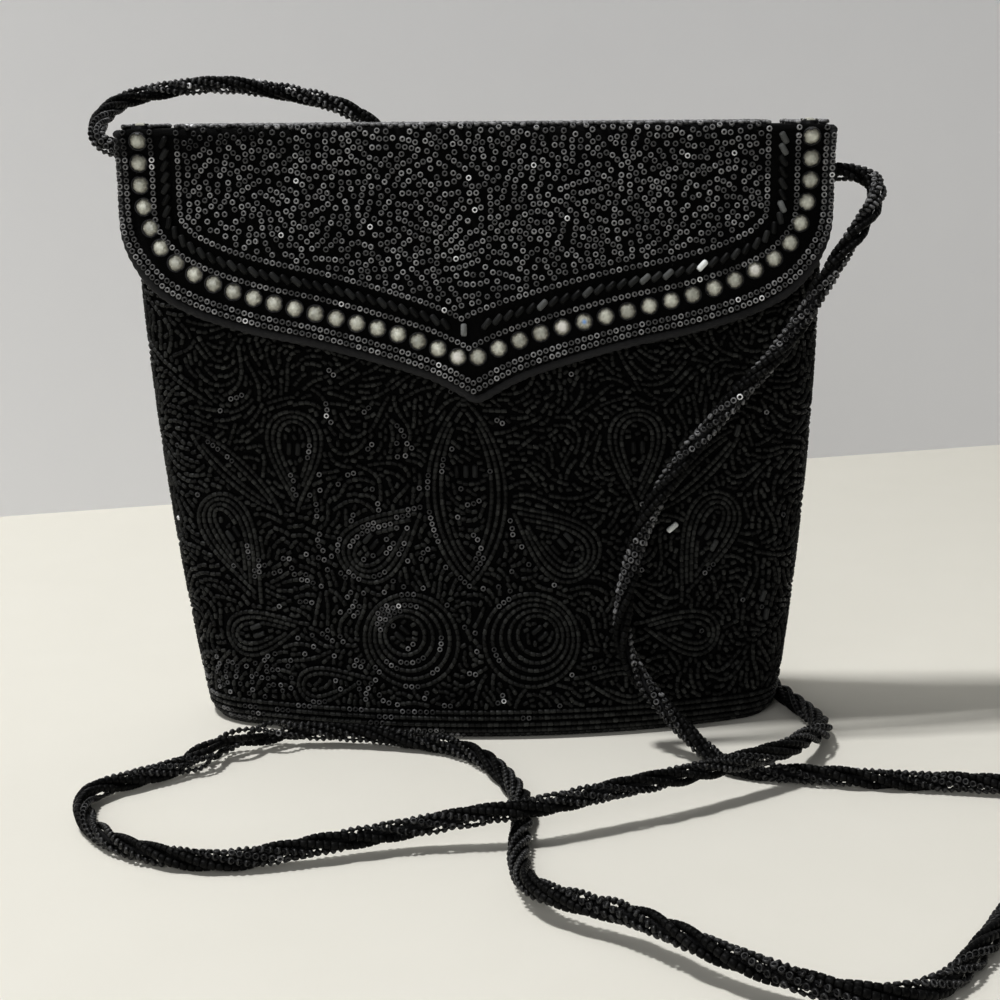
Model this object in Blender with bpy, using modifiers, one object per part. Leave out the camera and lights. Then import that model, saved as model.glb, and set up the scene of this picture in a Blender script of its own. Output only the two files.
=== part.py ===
"""Beaded evening bag: an oval bag body with a folding flap, a magnetic snap and a rope shoulder strap.

Metres, +Z up. The front faces -Y, and the base stands on z = 0 with the body's axis at x = y = 0.
"""

from math import atan2, cos, hypot, pi, radians, sin

import bmesh
import bpy
from mathutils import Matrix, Vector

# Bag body, measured over the cloth
BODY_HEIGHT = 0.1604
BASE_HALF_WIDTH = 0.0800
MOUTH_HALF_WIDTH = 0.0920
BASE_HALF_DEPTH = 0.0285
MOUTH_HALF_DEPTH = 0.0110
BASE_END_RADIUS = 0.0170
MOUTH_END_RADIUS = 0.0080
SIDE_BULGE = 0.0032
FACE_BULGE = 0.0012
BASE_LEAN = 0.0034
BASE_FILLET = 0.0050
GUSSET_SHARE = 0.55

# Layers of the wall and of the flap
CLOTH = 0.0010
STIFFENER = 0.0008
LINING = 0.0005
SEAM_GAP = 0.0003
STIFFENER_MARGIN = 0.0040

# Slip pocket on the back lining: how far its mouth lies below the bag's, and its height
POCKET_DROP = 0.0304
POCKET_HEIGHT = 0.0600
POCKET_HALF_SHARE = 0.40

# Flap: half of its edge, a corner and then a sweep to the point.
# A corner's points are lengths in from the side, a sweep's from the middle, each with its drop
# below the mouth.
FLAP_SIDE_CLEARANCE = 0.0006
FLAP_CLEARANCE = 0.0036
FLAP_SAG = 0.0040
FOLD_GAP = 0.0005
FLAP_SIDE_DROP = 0.0185
FLAP_CORNER = ((0.0006, 0.0245), (0.0032, 0.0308), (0.0080, 0.0370), (0.0160, 0.0420))
FLAP_SWEEP = ((0.0600, 0.0471), (0.0400, 0.0513), (0.0220, 0.0561), (0.0105, 0.0600))
FLAP_POINT_DROP = 0.0656
FLAP_INSET = 0.0008
PIPING_RADIUS = 0.0012

# Rhinestones along the flap, from the top of its side round the corner to its point.
# The row was sewn with its point left of the flap's own.
STONE_CORNER = (
    (0.0042, 0.0008), (0.0040, 0.0100), (0.0052, 0.0185), (0.0085, 0.0264), (0.0121, 0.0304),
    (0.0190, 0.0346), (0.0270, 0.0381),
)
STONE_SWEEP = (
    (0.0530, 0.0414), (0.0360, 0.0454), (0.0190, 0.0496), (0.0080, 0.0535), (0.0000, 0.0568),
)
STONE_SHIFT = 0.0025
STONE_PITCH = 0.0057
STONE_TABLE_DIAMETER = 0.0026
STONE_HEIGHT = 0.0018
SETTING_DIAMETER = 0.0048
CHAIN_LINK_RADIUS = 0.0004

# Magnetic snap behind the flap's point
SNAP_DROP = 0.0524
SNAP_DIAMETER = 0.0130
SOCKET_THICKNESS = 0.0015
SOCKET_BORE = 0.0052
SOCKET_FLOOR = 0.0004
STUD_THICKNESS = 0.0012
STUD_NUB_DIAMETER = 0.0040
STUD_NUB_LENGTH = 0.0010
WASHER_DIAMETER = 0.0120

# Shoulder strap and its sewn ends
STRAP_DIAMETER = 0.0054
STRAP_END_DIAMETER = 0.0058
STRAP_END_LENGTH = 0.0050
STRAP_LEFT_DROP = 0.0045
STRAP_RIGHT_DROP = 0.0098
STRAP_LEAD = 0.0030
STRAP_POINTS = 80

# The strap's route between its ends: up behind the bag, over the table and up to the right side
STRAP_ROUTE = (
    (-0.1035, 0.0100, 0.1605), (-0.1007, 0.0400, 0.1718), (-0.0697, 0.0470, 0.1750),
    (-0.0317, 0.0450, 0.1640), (-0.0120, 0.0420, 0.1280), (0.0260, 0.0385, 0.0190),
    (0.0500, 0.0350, 0.0032), (0.0765, 0.0240, 0.0028), (0.0880, -0.0050, 0.0028),
    (0.0922, -0.0350, 0.0045), (0.0852, -0.0480, 0.0075), (0.0763, -0.0621, 0.0093),
    (0.0147, -0.0953, 0.0092), (-0.0202, -0.1010, 0.0055), (-0.0595, -0.1102, 0.0028),
    (-0.0858, -0.0989, 0.0028), (-0.0967, -0.0721, 0.0028), (-0.0766, -0.0538, 0.0035),
    (-0.0663, -0.0410, 0.0045), (-0.0519, -0.0335, 0.0045), (-0.0068, -0.0415, 0.0028),
    (0.0096, -0.0730, 0.0028), (0.0093, -0.1156, 0.0034), (0.0131, -0.1327, 0.0060),
    (0.0310, -0.1465, 0.0070), (0.0513, -0.1658, 0.0070), (0.0713, -0.1750, 0.0045),
    (0.0900, -0.1690, 0.0032), (0.1200, -0.1270, 0.0028), (0.1540, -0.0920, 0.0028),
    (0.1500, -0.0775, 0.0030), (0.0680, -0.0578, 0.0028), (0.0588, -0.0480, 0.0040),
    (0.0395, -0.0350, 0.0259), (0.0384, -0.0335, 0.0413), (0.0485, -0.0310, 0.0705),
    (0.0800, -0.0255, 0.1075), (0.0950, -0.0215, 0.1300), (0.1068, -0.0073, 0.1452),
    (0.1060, -0.0024, 0.1489),
)

# Sizes that follow from those above
STACK = CLOTH + STIFFENER + LINING + 2 * SEAM_GAP
FOLD_RADIUS = STACK / 2
FOLD_HEIGHT = BODY_HEIGHT + SEAM_GAP + FOLD_RADIUS
BACK_FOLD_Y = MOUTH_HALF_DEPTH - FOLD_RADIUS
FRONT_FOLD_Y = -(MOUTH_HALF_DEPTH + FLAP_CLEARANCE + FOLD_RADIUS)
STIFFENER_DEPTH = CLOTH + SEAM_GAP
LINING_DEPTH = STIFFENER_DEPTH + STIFFENER + SEAM_GAP
POCKET_DEPTH = LINING_DEPTH + LINING + SEAM_GAP
POCKET_MOUTH = BODY_HEIGHT - POCKET_DROP
FLAP_HALF_WIDTH = MOUTH_HALF_WIDTH - FLAP_SIDE_CLEARANCE
SNAP_HEIGHT = BODY_HEIGHT - SNAP_DROP

FILLET_ANGLES = [radians(angle) for angle in (0, 30, 60)]
WALL_ROWS = 6
END_COLUMNS = 3
FACE_COLUMNS = 4
GUSSET_COLUMNS = 6
FLAP_ROWS = 6


def clear_scene():
    for item in list(bpy.data.objects):
        bpy.data.objects.remove(item, do_unlink=True)


def new_collection(name):
    collection = bpy.data.collections.new(name)
    bpy.context.scene.collection.children.link(collection)
    return collection


def finish(name, colour, roughness, metallic=0.0):
    material = bpy.data.materials.new(name)
    material.use_nodes = True
    shader = material.node_tree.nodes["Principled BSDF"]
    shader.inputs["Base Color"].default_value = (*colour, 1.0)
    shader.inputs["Roughness"].default_value = roughness
    shader.inputs["Metallic"].default_value = metallic
    return material


def add_part(name, data, material, parent=None):
    """Puts a mesh or curve in the bag's collection, on its parent's axis if it has one."""
    part = bpy.data.objects.new(name, data)
    data.materials.append(material)
    PARTS.objects.link(part)
    if parent:
        part.parent = parent
        part.matrix_parent_inverse = Matrix.Translation(-parent_place(parent))
    return part


def parent_place(empty):
    place = empty.location.copy()
    return place + parent_place(empty.parent) if empty.parent else place


def fold_axis(name, y, parent=None):
    """An empty on the axis of a fold of the flap."""
    axis = bpy.data.objects.new(name, None)
    axis.location = Vector((0, y, FOLD_HEIGHT)) - (parent_place(parent) if parent else Vector())
    axis.parent = parent
    PARTS.objects.link(axis)
    return axis


def smooth_curve(points, steps):
    """A centripetal Catmull-Rom curve through the points, with so many steps to each span."""
    points = [Vector(point) for point in points]
    first = 2 * points[0] - points[1]
    last = 2 * points[-1] - points[-2]
    knots = [first, *points, last]
    curve = []
    for before, start, end, after in zip(knots, knots[1:], knots[2:], knots[3:]):
        enter = (start - before).length ** 0.5
        leave = enter + (end - start).length ** 0.5
        close = leave + (after - end).length ** 0.5
        for step in range(steps):
            t = enter + (leave - enter) * step / steps
            share = step / steps
            middle = start.lerp(end, share)
            early = before.lerp(start, t / enter).lerp(middle, t / leave)
            late = middle.lerp(end.lerp(after, (t - leave) / (close - leave)), (t - enter) / (close - enter))
            curve.append(early.lerp(late, share))
    return curve + [points[-1]]


def even_points(curve, count):
    """So many points at even distances along a curve, both ends included."""
    lengths = [0.0]
    for a, b in zip(curve, curve[1:]):
        lengths.append(lengths[-1] + (b - a).length)
    points = []
    span = 0
    for i in range(count):
        target = lengths[-1] * i / (count - 1)
        while span < len(curve) - 2 and lengths[span + 1] < target:
            span += 1
        share = (target - lengths[span]) / (lengths[span + 1] - lengths[span])
        points.append(curve[span].lerp(curve[span + 1], share))
    return points, lengths[-1]


def body_size(z):
    """Half width, half depth and end radius of the body's oval at a height."""
    share = min(max(z / BODY_HEIGHT, 0.0), 1.0)
    bulge = 4 * share * (1 - share)
    width = BASE_HALF_WIDTH + (MOUTH_HALF_WIDTH - BASE_HALF_WIDTH) * share + SIDE_BULGE * bulge
    depth = BASE_HALF_DEPTH + (MOUTH_HALF_DEPTH - BASE_HALF_DEPTH) * share + FACE_BULGE * bulge
    radius = BASE_END_RADIUS + (MOUTH_END_RADIUS - BASE_END_RADIUS) * share
    return width, depth, radius


def oval_point(z, inset, turn):
    """A point of the oval at z, drawn in by inset.

    turn runs from 0 at the right end through 1 at the front, 2 at the left end and 3 at the back.
    Each quarter is half end arc and half broad arc. The soft body leans: its base lies to the right.
    """
    width, depth, radius = (size - inset for size in body_size(z))
    broad = ((width - radius) ** 2 + depth ** 2 - radius ** 2) / (2 * (depth - radius))
    tangent = atan2(broad - depth, width - radius)
    side = 1 if turn <= 1 or turn >= 3 else -1
    face = -1 if turn <= 2 else 1
    quarter = turn % 2 if turn % 2 <= 1 else 2 - turn % 2
    if quarter <= 0.5:
        angle = tangent * quarter * 2
        x = width - radius + radius * cos(angle)
        y = radius * sin(angle)
    else:
        angle = tangent + (pi / 2 - tangent) * (quarter * 2 - 1)
        x = broad * cos(angle)
        y = depth - broad + broad * sin(angle)
    lean = BASE_LEAN * (1 - z / BODY_HEIGHT)
    return Vector((side * x + lean, face * y, z))


def wall_rows(foot=None, top=BODY_HEIGHT):
    """Rows up the wall: angles round the base fillet, then heights, or heights alone from a foot."""
    start = BASE_FILLET if foot is None else foot
    heights = [("height", start + (top - start) * i / WALL_ROWS) for i in range(WALL_ROWS + 1)]
    rounds = [("angle", angle) for angle in FILLET_ANGLES] if foot is None else []
    return rounds + heights


def wall_point(turn, row, depth):
    """A point of the wall so deep under its outer face."""
    kind, value = row
    if kind == "height":
        return oval_point(value, depth, turn)
    radius = BASE_FILLET - depth
    return oval_point(BASE_FILLET - radius * cos(value), BASE_FILLET - radius * sin(value), turn)


def spread(start, end, count):
    return [start + (end - start) * i / count for i in range(count + 1)]


def face_turns(centre, margin=0.0):
    """Columns of a front or back panel, from seam to seam."""
    seam = GUSSET_SHARE / 2 + margin
    right = spread(seam, 0.5, END_COLUMNS) + spread(0.5, 1.0, FACE_COLUMNS)[1:]
    return [centre - 1 + turn for turn in right] + [centre + 1 - turn for turn in right[-2::-1]]


def seam_margin():
    """The share of a quarter turn that holds a seam's gap at the narrow end arc of the mouth."""
    return SEAM_GAP / (MOUTH_END_RADIUS * pi / 2)


def new_sheet(name, columns, rows, place, outward, thickness, material, parent=None):
    """A grid of faces put in place by place(column, row), with a wall thickness laid inwards."""
    bm = bmesh.new()
    bmesh.ops.create_grid(bm, x_segments=len(columns) - 1, y_segments=len(rows) - 1, size=1)
    for vert in bm.verts:
        column = round((vert.co.x + 1) / 2 * (len(columns) - 1))
        row = round((vert.co.y + 1) / 2 * (len(rows) - 1))
        vert.co = place(columns[column], rows[row])
    bm.normal_update()
    facing = sum(face.normal.dot(outward(face.calc_center_median())) for face in bm.faces)
    if facing < 0:
        bmesh.ops.reverse_faces(bm, faces=bm.faces)
    mesh = bpy.data.meshes.new(name)
    bm.to_mesh(mesh)
    bm.free()
    mesh.shade_smooth()
    part = add_part(name, mesh, material, parent)
    wall = part.modifiers.new("Wall", "SOLIDIFY")
    wall.thickness = thickness
    wall.offset = -1
    wall.use_even_offset = True
    return part


def away_from_axis(point):
    return Vector((point.x, point.y, 0))


def towards_front(point):
    return Vector((0, -1, 0))


def upwards(point):
    return Vector((0, 0, 1))


def wall_sheet(name, turns, rows, depth, thickness, material):
    return new_sheet(
        name, turns, rows, lambda turn, row: wall_point(turn, row, depth),
        away_from_axis, thickness, material,
    )


def build_walls():
    """Front, back and gussets: beaded cloth outside, stiffening in the broad faces, satin inside."""
    margin = seam_margin()
    rows = wall_rows()
    stiff_rows = wall_rows(BASE_FILLET + STIFFENER_MARGIN, BODY_HEIGHT - STIFFENER_MARGIN)
    stiffeners = {}
    for face, centre in (("front", 1), ("back", 3)):
        turns = face_turns(centre, margin / 2)
        wall_sheet(f"{face}_panel", turns, rows, 0.0, CLOTH, BEADED_CLOTH)
        stiffeners[face] = wall_sheet(
            f"{face}_stiffener", turns, stiff_rows, STIFFENER_DEPTH, STIFFENER, BUCKRAM
        )
        wall_sheet(f"{face}_lining", turns, rows, LINING_DEPTH, LINING, SATIN)
    reach = GUSSET_SHARE / 2 - margin / 2
    for side, centre in (("right", 0), ("left", 2)):
        turns = [turn % 4 for turn in spread(centre - reach, centre + reach, GUSSET_COLUMNS)]
        wall_sheet(f"{side}_gusset", turns, rows, 0.0, CLOTH, BEADED_CLOTH)
        wall_sheet(f"{side}_gusset_lining", turns, rows, LINING_DEPTH, LINING, SATIN)
    pocket_turns = spread(3 - POCKET_HALF_SHARE, 3 + POCKET_HALF_SHARE, 2 * FACE_COLUMNS)
    pocket_rows = wall_rows(POCKET_MOUTH - POCKET_HEIGHT, POCKET_MOUTH)
    wall_sheet("inner_pocket", pocket_turns, pocket_rows, POCKET_DEPTH, LINING, SATIN)
    return stiffeners["front"]


def build_base():
    """Oval base in three layers, each inside the foot of the same layer of the wall."""
    layers = (
        ("base_panel", 0.0, CLOTH, BEADED_CLOTH),
        ("base_board", STIFFENER_DEPTH, STIFFENER, BUCKRAM),
        ("base_lining", LINING_DEPTH, LINING, SATIN),
    )
    turns = face_turns(1) + face_turns(3)
    turns += [turn % 4 for turn in spread(-GUSSET_SHARE / 2, GUSSET_SHARE / 2, GUSSET_COLUMNS)[1:-1]]
    turns += spread(2 - GUSSET_SHARE / 2, 2 + GUSSET_SHARE / 2, GUSSET_COLUMNS)[1:-1]
    turns.sort()
    for name, foot, thickness, material in layers:
        curve = bpy.data.curves.new(name, "CURVE")
        curve.dimensions = "2D"
        curve.fill_mode = "BOTH"
        curve.extrude = thickness / 2
        spline = curve.splines.new("POLY")
        spline.points.add(len(turns) - 1)
        for point, turn in zip(spline.points, turns):
            x, y, z = oval_point(foot, BASE_FILLET + SEAM_GAP, turn)
            point.co = (x, y, 0, 1)
        spline.use_cyclic_u = True
        part = add_part(name, curve, material)
        part.location.z = foot + thickness / 2


def flap_route(corner, sweep, steps):
    """A smooth curve in the plane y = 0, down a corner of the flap and along its sweep."""
    route = [(FLAP_HALF_WIDTH - inset, drop) for inset, drop in corner] + list(sweep)
    return smooth_curve([(x, 0, BODY_HEIGHT - drop) for x, drop in route], steps)


def flap_edge():
    """Half of the flap's edge, from the side's lower end to the point, in the plane y = 0."""
    corner = [(0.0, FLAP_SIDE_DROP), *FLAP_CORNER]
    sweep = [*FLAP_SWEEP, (0.0, FLAP_POINT_DROP)]
    return flap_route(corner, sweep, 2)


def flap_point(x, z, depth):
    """A point of the flap's hanging front, so deep under its outer face."""
    front = body_size(z)[1]
    share = (FOLD_HEIGHT - z) / (FOLD_HEIGHT - BODY_HEIGHT + FLAP_SIDE_DROP)
    sag = FLAP_SAG * (1 - max(1 - share, 0.0) ** 2) * (x / FLAP_HALF_WIDTH) ** 2
    return Vector((x, sag - front - FLAP_CLEARANCE - STACK + depth, z))


def flap_normal(x, z):
    step = 0.001
    across = flap_point(x + step, z, 0) - flap_point(x - step, z, 0)
    along = flap_point(x, z + step, 0) - flap_point(x, z - step, 0)
    return across.cross(along).normalized()


def flap_columns(inset):
    """Columns of the flap from left to right: half width and the height of the edge below it."""
    shrink = 1 - inset / FLAP_HALF_WIDTH
    right = [(point.x * shrink, point.z + inset) for point in flap_edge()]
    return [(-x, z) for x, z in right] + right[-2::-1]


def flap_sheet(name, depth, thickness, inset, top, material, parent):
    """One layer of the flap's front, from a top height down to the edge."""

    def place(column, share):
        x, edge = column
        return flap_point(x, top + (edge - top) * share, depth)

    rows = spread(0.0, 1.0, FLAP_ROWS)
    return new_sheet(
        name, flap_columns(inset), rows, place, towards_front, thickness, material, parent
    )


def build_flap_panel(parent):
    """Outer cloth of the flap, which turns over the front fold to meet the top strip."""
    turns = [("turn", radians(angle)) for angle in (90, 60, 30)]
    rows = turns + [("share", share) for share in spread(0.0, 1.0, FLAP_ROWS)]

    def place(column, row):
        x, edge = column
        kind, value = row
        if kind == "share":
            return flap_point(x, FOLD_HEIGHT + (edge - FOLD_HEIGHT) * value, 0)
        y = FRONT_FOLD_Y - FOLD_RADIUS * cos(value)
        return Vector((x, y, FOLD_HEIGHT + FOLD_RADIUS * sin(value)))

    new_sheet(
        "flap_panel", flap_columns(0.0), rows, place,
        lambda point: point - Vector((point.x, FRONT_FOLD_Y, FOLD_HEIGHT - FOLD_RADIUS)),
        CLOTH, BEADED_CLOTH, parent,
    )


def build_flap_front(parent):
    build_flap_panel(parent)
    top = BODY_HEIGHT
    stiffener = flap_sheet(
        "flap_stiffener", STIFFENER_DEPTH, STIFFENER, FLAP_INSET, top, BUCKRAM, parent
    )
    flap_sheet("flap_lining", LINING_DEPTH, LINING, FLAP_INSET, top, SATIN, parent)
    return stiffener


def build_flap_top(parent):
    """Strip over the mouth, from the front fold to the back fold, in the flap's three layers."""
    front = FRONT_FOLD_Y + FOLD_RADIUS + FOLD_GAP
    flats = [("flat", y) for y in spread(front, BACK_FOLD_Y, 2)]
    rows = flats + [("turn", radians(angle)) for angle in (60, 30, 0)]

    def place(x, row):
        kind, value = row
        if kind == "flat":
            return Vector((x, value, FOLD_HEIGHT + FOLD_RADIUS))
        y = BACK_FOLD_Y + FOLD_RADIUS * cos(value)
        return Vector((x, y, FOLD_HEIGHT + FOLD_RADIUS * sin(value)))

    columns = spread(-FLAP_HALF_WIDTH, FLAP_HALF_WIDTH, 2)
    new_sheet("flap_top_panel", columns, rows, place, upwards, CLOTH, BEADED_CLOTH, parent)
    half_width = FLAP_HALF_WIDTH - FLAP_INSET
    roof = FOLD_HEIGHT + FOLD_RADIUS
    add_slab(
        "flap_top_stiffener", half_width, front, BACK_FOLD_Y - FOLD_GAP,
        roof - STIFFENER_DEPTH - STIFFENER, STIFFENER, BUCKRAM, parent,
    )
    add_slab(
        "flap_top_lining", half_width, front, BACK_FOLD_Y,
        roof - LINING_DEPTH - LINING, LINING, SATIN, parent,
    )


def add_slab(name, half_width, front, back, foot, thickness, material, parent):
    bm = bmesh.new()
    bmesh.ops.create_cube(bm, size=1)
    size = Vector((2 * half_width, back - front, thickness))
    centre = Vector((0, (front + back) / 2, foot + thickness / 2))
    bmesh.ops.scale(bm, vec=size, verts=bm.verts)
    bmesh.ops.translate(bm, vec=centre, verts=bm.verts)
    mesh = bpy.data.meshes.new(name)
    bm.to_mesh(mesh)
    bm.free()
    return add_part(name, mesh, material, parent)


def tube(name, points, radius, resolution, material, parent=None):
    curve = bpy.data.curves.new(name, "CURVE")
    curve.dimensions = "3D"
    curve.bevel_depth = radius
    curve.bevel_resolution = resolution
    curve.use_fill_caps = True
    spline = curve.splines.new("POLY")
    spline.points.add(len(points) - 1)
    for target, point in zip(spline.points, points):
        target.co = (*point, 1)
    return add_part(name, curve, material, parent)


def build_piping(parent):
    """Cord along the flap's edge, down one side, through the point and up the other."""
    reach = PIPING_RADIUS + SEAM_GAP
    half = [Vector((FLAP_HALF_WIDTH, 0, BODY_HEIGHT))] + flap_edge()
    moved = []
    for i, point in enumerate(half):
        before = half[max(i - 1, 0)]
        after = half[i + 1] if i + 1 < len(half) else Vector((-before.x, 0, before.z))
        run = (after - before).normalized()
        normal = Vector((-run.z, 0, run.x))
        moved.append(point + normal * reach)
    moved[-1] = half[-1] - Vector((0, 0, point_reach(half) * reach))
    right = [flap_point(point.x, point.z, STACK / 2) for point in moved]
    left = [Vector((-point.x, point.y, point.z)) for point in right[-2::-1]]
    tube("flap_piping", right + left, PIPING_RADIUS, 1, PIPING, parent)


def point_reach(half):
    """How much further a parallel of the edge lies below the flap's point than beside its arms."""
    arm = half[-2] - half[-1]
    return hypot(arm.x, arm.z) / arm.x


def stone_places():
    """Stones along the row from left to right, at an even pitch from half a pitch off its point."""
    curve = flap_route(STONE_CORNER, STONE_SWEEP, 8)[::-1]
    fine, length = even_points(curve, 400)
    count = int(length / STONE_PITCH + 0.5)
    right = [fine[round((i + 0.5) * STONE_PITCH / length * 399)] for i in range(count)]
    left = [Vector((-point.x, 0, point.z)) for point in reversed(right)]
    return [(shifted(point.x), point.z) for point in left + right]


def shifted(x):
    """Where a stone of the even row lies: the shift is full at the point and fades to the sides."""
    return x - STONE_SHIFT * (1 - abs(x) / FLAP_HALF_WIDTH)


def mesh_of(part):
    """The part's curve made a closed mesh object under the same name."""
    evaluated = part.evaluated_get(bpy.context.evaluated_depsgraph_get())
    mesh = bpy.data.meshes.new_from_object(evaluated)
    bm = bmesh.new()
    bm.from_mesh(mesh)
    bmesh.ops.remove_doubles(bm, verts=bm.verts, dist=0.00001)
    bm.to_mesh(mesh)
    bm.free()
    name, material, parent = part.name, part.data.materials[0], part.parent
    bpy.data.objects.remove(part, do_unlink=True)
    mesh.materials.clear()
    return add_part(name, mesh, material, parent)


def build_rhinestones(parent):
    """Cup chain: a link wire along the row, with a stone in its cup at each place."""
    places = stone_places()
    link_height = SEAM_GAP + CHAIN_LINK_RADIUS
    links = [flap_point(x, z, 0) + flap_normal(x, z) * link_height for x, z in places]
    chain = mesh_of(tube("rhinestone_chain", links, CHAIN_LINK_RADIUS, 0, STONE, parent))
    bm = bmesh.new()
    for x, z in places:
        normal = flap_normal(x, z)
        middle = flap_point(x, z, 0) + normal * (SEAM_GAP + STONE_HEIGHT / 2)
        bmesh.ops.create_cone(
            bm, cap_ends=True, segments=8, radius1=SETTING_DIAMETER / 2,
            radius2=STONE_TABLE_DIAMETER / 2, depth=STONE_HEIGHT,
            matrix=Matrix.Translation(middle) @ normal.to_track_quat("Z", "Y").to_matrix().to_4x4(),
        )
    stones = add_guide("rhinestone_cups", bm)
    union = chain.modifiers.new("Cups on the links", "BOOLEAN")
    union.operation = "UNION"
    union.object = stones


def add_guide(name, bm):
    """A mesh that cuts or joins another and isn't a piece itself."""
    mesh = bpy.data.meshes.new(name)
    bm.to_mesh(mesh)
    bm.free()
    guide = bpy.data.objects.new(name, mesh)
    CUTTERS.objects.link(guide)
    guide.hide_render = True
    guide.display_type = "WIRE"
    return guide


def turned(name, profile, place, material, parent=None):
    """A solid of revolution: the profile holds radius and height pairs from its top to its foot."""
    mesh = bpy.data.meshes.new(name)
    edges = [(i, i + 1) for i in range(len(profile) - 1)]
    mesh.from_pydata([(radius, 0, height) for radius, height in profile], edges, [])
    part = add_part(name, mesh, material, parent)
    screw = part.modifiers.new("Turn", "SCREW")
    screw.steps = 16
    screw.render_steps = 16
    screw.use_merge_vertices = True
    screw.merge_threshold = 0.00001
    part.matrix_basis = place
    return part


def snap_place():
    """Frame of the snap: its origin on the front panel's cloth, +Z along the cloth's outward normal."""
    foot = oval_point(SNAP_HEIGHT, 0, 1)
    normal = flap_normal(0, SNAP_HEIGHT)
    return Matrix.Translation(foot) @ normal.to_track_quat("Z", "X").to_matrix().to_4x4()


def add_cutter(name, radius, height, place, target):
    bm = bmesh.new()
    bmesh.ops.create_cone(
        bm, cap_ends=True, segments=24, radius1=radius, radius2=radius, depth=height, matrix=place
    )
    cutter = add_guide(name, bm)
    hole = target.modifiers.new("Washer hole", "BOOLEAN")
    hole.operation = "DIFFERENCE"
    hole.object = cutter


def build_snap(front_stiffener, flap_stiffener, flap_axis):
    """Magnetic snap: socket on the front panel, stud on the flap, washers let into the stiffening."""
    place = snap_place()
    rim = SNAP_DIAMETER / 2
    foot = SEAM_GAP
    top = foot + SOCKET_THICKNESS
    turned(
        "snap_socket",
        [(0, foot + SOCKET_FLOOR), (SOCKET_BORE / 2, foot + SOCKET_FLOOR), (SOCKET_BORE / 2, top),
         (rim, top), (rim, foot), (0, foot)],
        place, NICKEL,
    )
    head = FLAP_CLEARANCE - SEAM_GAP
    seat = head - STUD_THICKNESS
    tip = seat - STUD_NUB_LENGTH
    nub = STUD_NUB_DIAMETER / 2
    turned(
        "snap_stud",
        [(0, head), (rim, head), (rim, seat), (nub, seat), (nub, tip), (0, tip)],
        place, NICKEL, flap_axis,
    )
    washer = WASHER_DIAMETER / 2
    inner_foot = -STIFFENER_DEPTH - STIFFENER
    outer_foot = FLAP_CLEARANCE + LINING + SEAM_GAP
    for name, low, target, parent in (
        ("snap_socket_washer", inner_foot, front_stiffener, None),
        ("snap_stud_washer", outer_foot, flap_stiffener, flap_axis),
    ):
        high = low + STIFFENER
        turned(name, [(0, high), (washer, high), (washer, low), (0, low)], place, NICKEL, parent)
        middle = place @ Matrix.Translation((0, 0, (low + high) / 2))
        add_cutter(f"{name}_hole", washer + SEAM_GAP, 4 * STIFFENER, middle, target)


def build_strap_end(name, turn, drop):
    """A thread-wrapped end of the strap, squared to the gusset at a turn of the oval."""
    foot = oval_point(BODY_HEIGHT - drop, 0, turn)
    inner = oval_point(BODY_HEIGHT - drop, CLOTH, turn)
    normal = (foot - inner).normalized()
    bm = bmesh.new()
    centre = foot + normal * (SEAM_GAP + STRAP_END_LENGTH / 2)
    bmesh.ops.create_cone(
        bm, cap_ends=True, segments=16, radius1=STRAP_END_DIAMETER / 2,
        radius2=STRAP_END_DIAMETER / 2, depth=STRAP_END_LENGTH,
        matrix=Matrix.Translation(centre) @ normal.to_track_quat("Z", "Y").to_matrix().to_4x4(),
    )
    mesh = bpy.data.meshes.new(name)
    bm.to_mesh(mesh)
    bm.free()
    mesh.shade_smooth()
    mesh.set_sharp_from_angle(angle=radians(40))
    add_part(name, mesh, THREAD)
    exit_point = foot + normal * (2 * SEAM_GAP + STRAP_END_LENGTH)
    return exit_point, exit_point + normal * STRAP_LEAD


def build_strap():
    """Rope strap: one tube from the left end to the right end, lying on the table between them."""
    start, start_lead = build_strap_end("left_strap_end", 2 + GUSSET_SHARE / 2, STRAP_LEFT_DROP)
    stop, stop_lead = build_strap_end("right_strap_end", 0, STRAP_RIGHT_DROP)
    curve = smooth_curve([start_lead, *STRAP_ROUTE, stop_lead], 12)
    for point in curve:
        point.z = max(point.z, STRAP_DIAMETER / 2)
    points, length = even_points(curve, STRAP_POINTS - 2)
    tube("shoulder_strap", [start, *points, stop], STRAP_DIAMETER / 2, 2, BEAD_ROPE)
    print(f"strap length {length + 2 * STRAP_LEAD:.4f} m")


clear_scene()
PARTS = new_collection("evening_bag")
CUTTERS = new_collection("evening_bag_cutters")

BEADED_CLOTH = finish("beaded cloth", (0.012, 0.012, 0.014), 0.35)
BUCKRAM = finish("buckram stiffening", (0.55, 0.50, 0.42), 0.9)
SATIN = finish("satin lining", (0.02, 0.02, 0.022), 0.45)
PIPING = finish("piping cord", (0.035, 0.035, 0.038), 0.8)
STONE = finish("rhinestone glass", (0.80, 0.78, 0.72), 0.1)
NICKEL = finish("nickel plate", (0.62, 0.60, 0.57), 0.25, 1.0)
THREAD = finish("black thread", (0.015, 0.015, 0.016), 0.7)
BEAD_ROPE = finish("bead rope", (0.012, 0.012, 0.013), 0.35)

front_stiffener = build_walls()
build_base()
back_fold = fold_axis("back_fold_axis", BACK_FOLD_Y)
front_fold = fold_axis("front_fold_axis", FRONT_FOLD_Y, back_fold)
build_flap_top(back_fold)
flap_stiffener = build_flap_front(front_fold)
build_piping(front_fold)
build_rhinestones(front_fold)
build_snap(front_stiffener, flap_stiffener, front_fold)
build_strap()
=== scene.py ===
"""Looks of a beaded evening bag: cloth, beads, stones, lining and strap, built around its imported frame.

Metres, +Z up. The front of the bag faces -Y, and its base stands on z = 0.
"""

import logging
import random
from dataclasses import dataclass, field
from enum import Enum
from math import ceil, cos, pi, radians, sin, sqrt, tau
from typing import Callable, Iterable, Sequence

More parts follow.
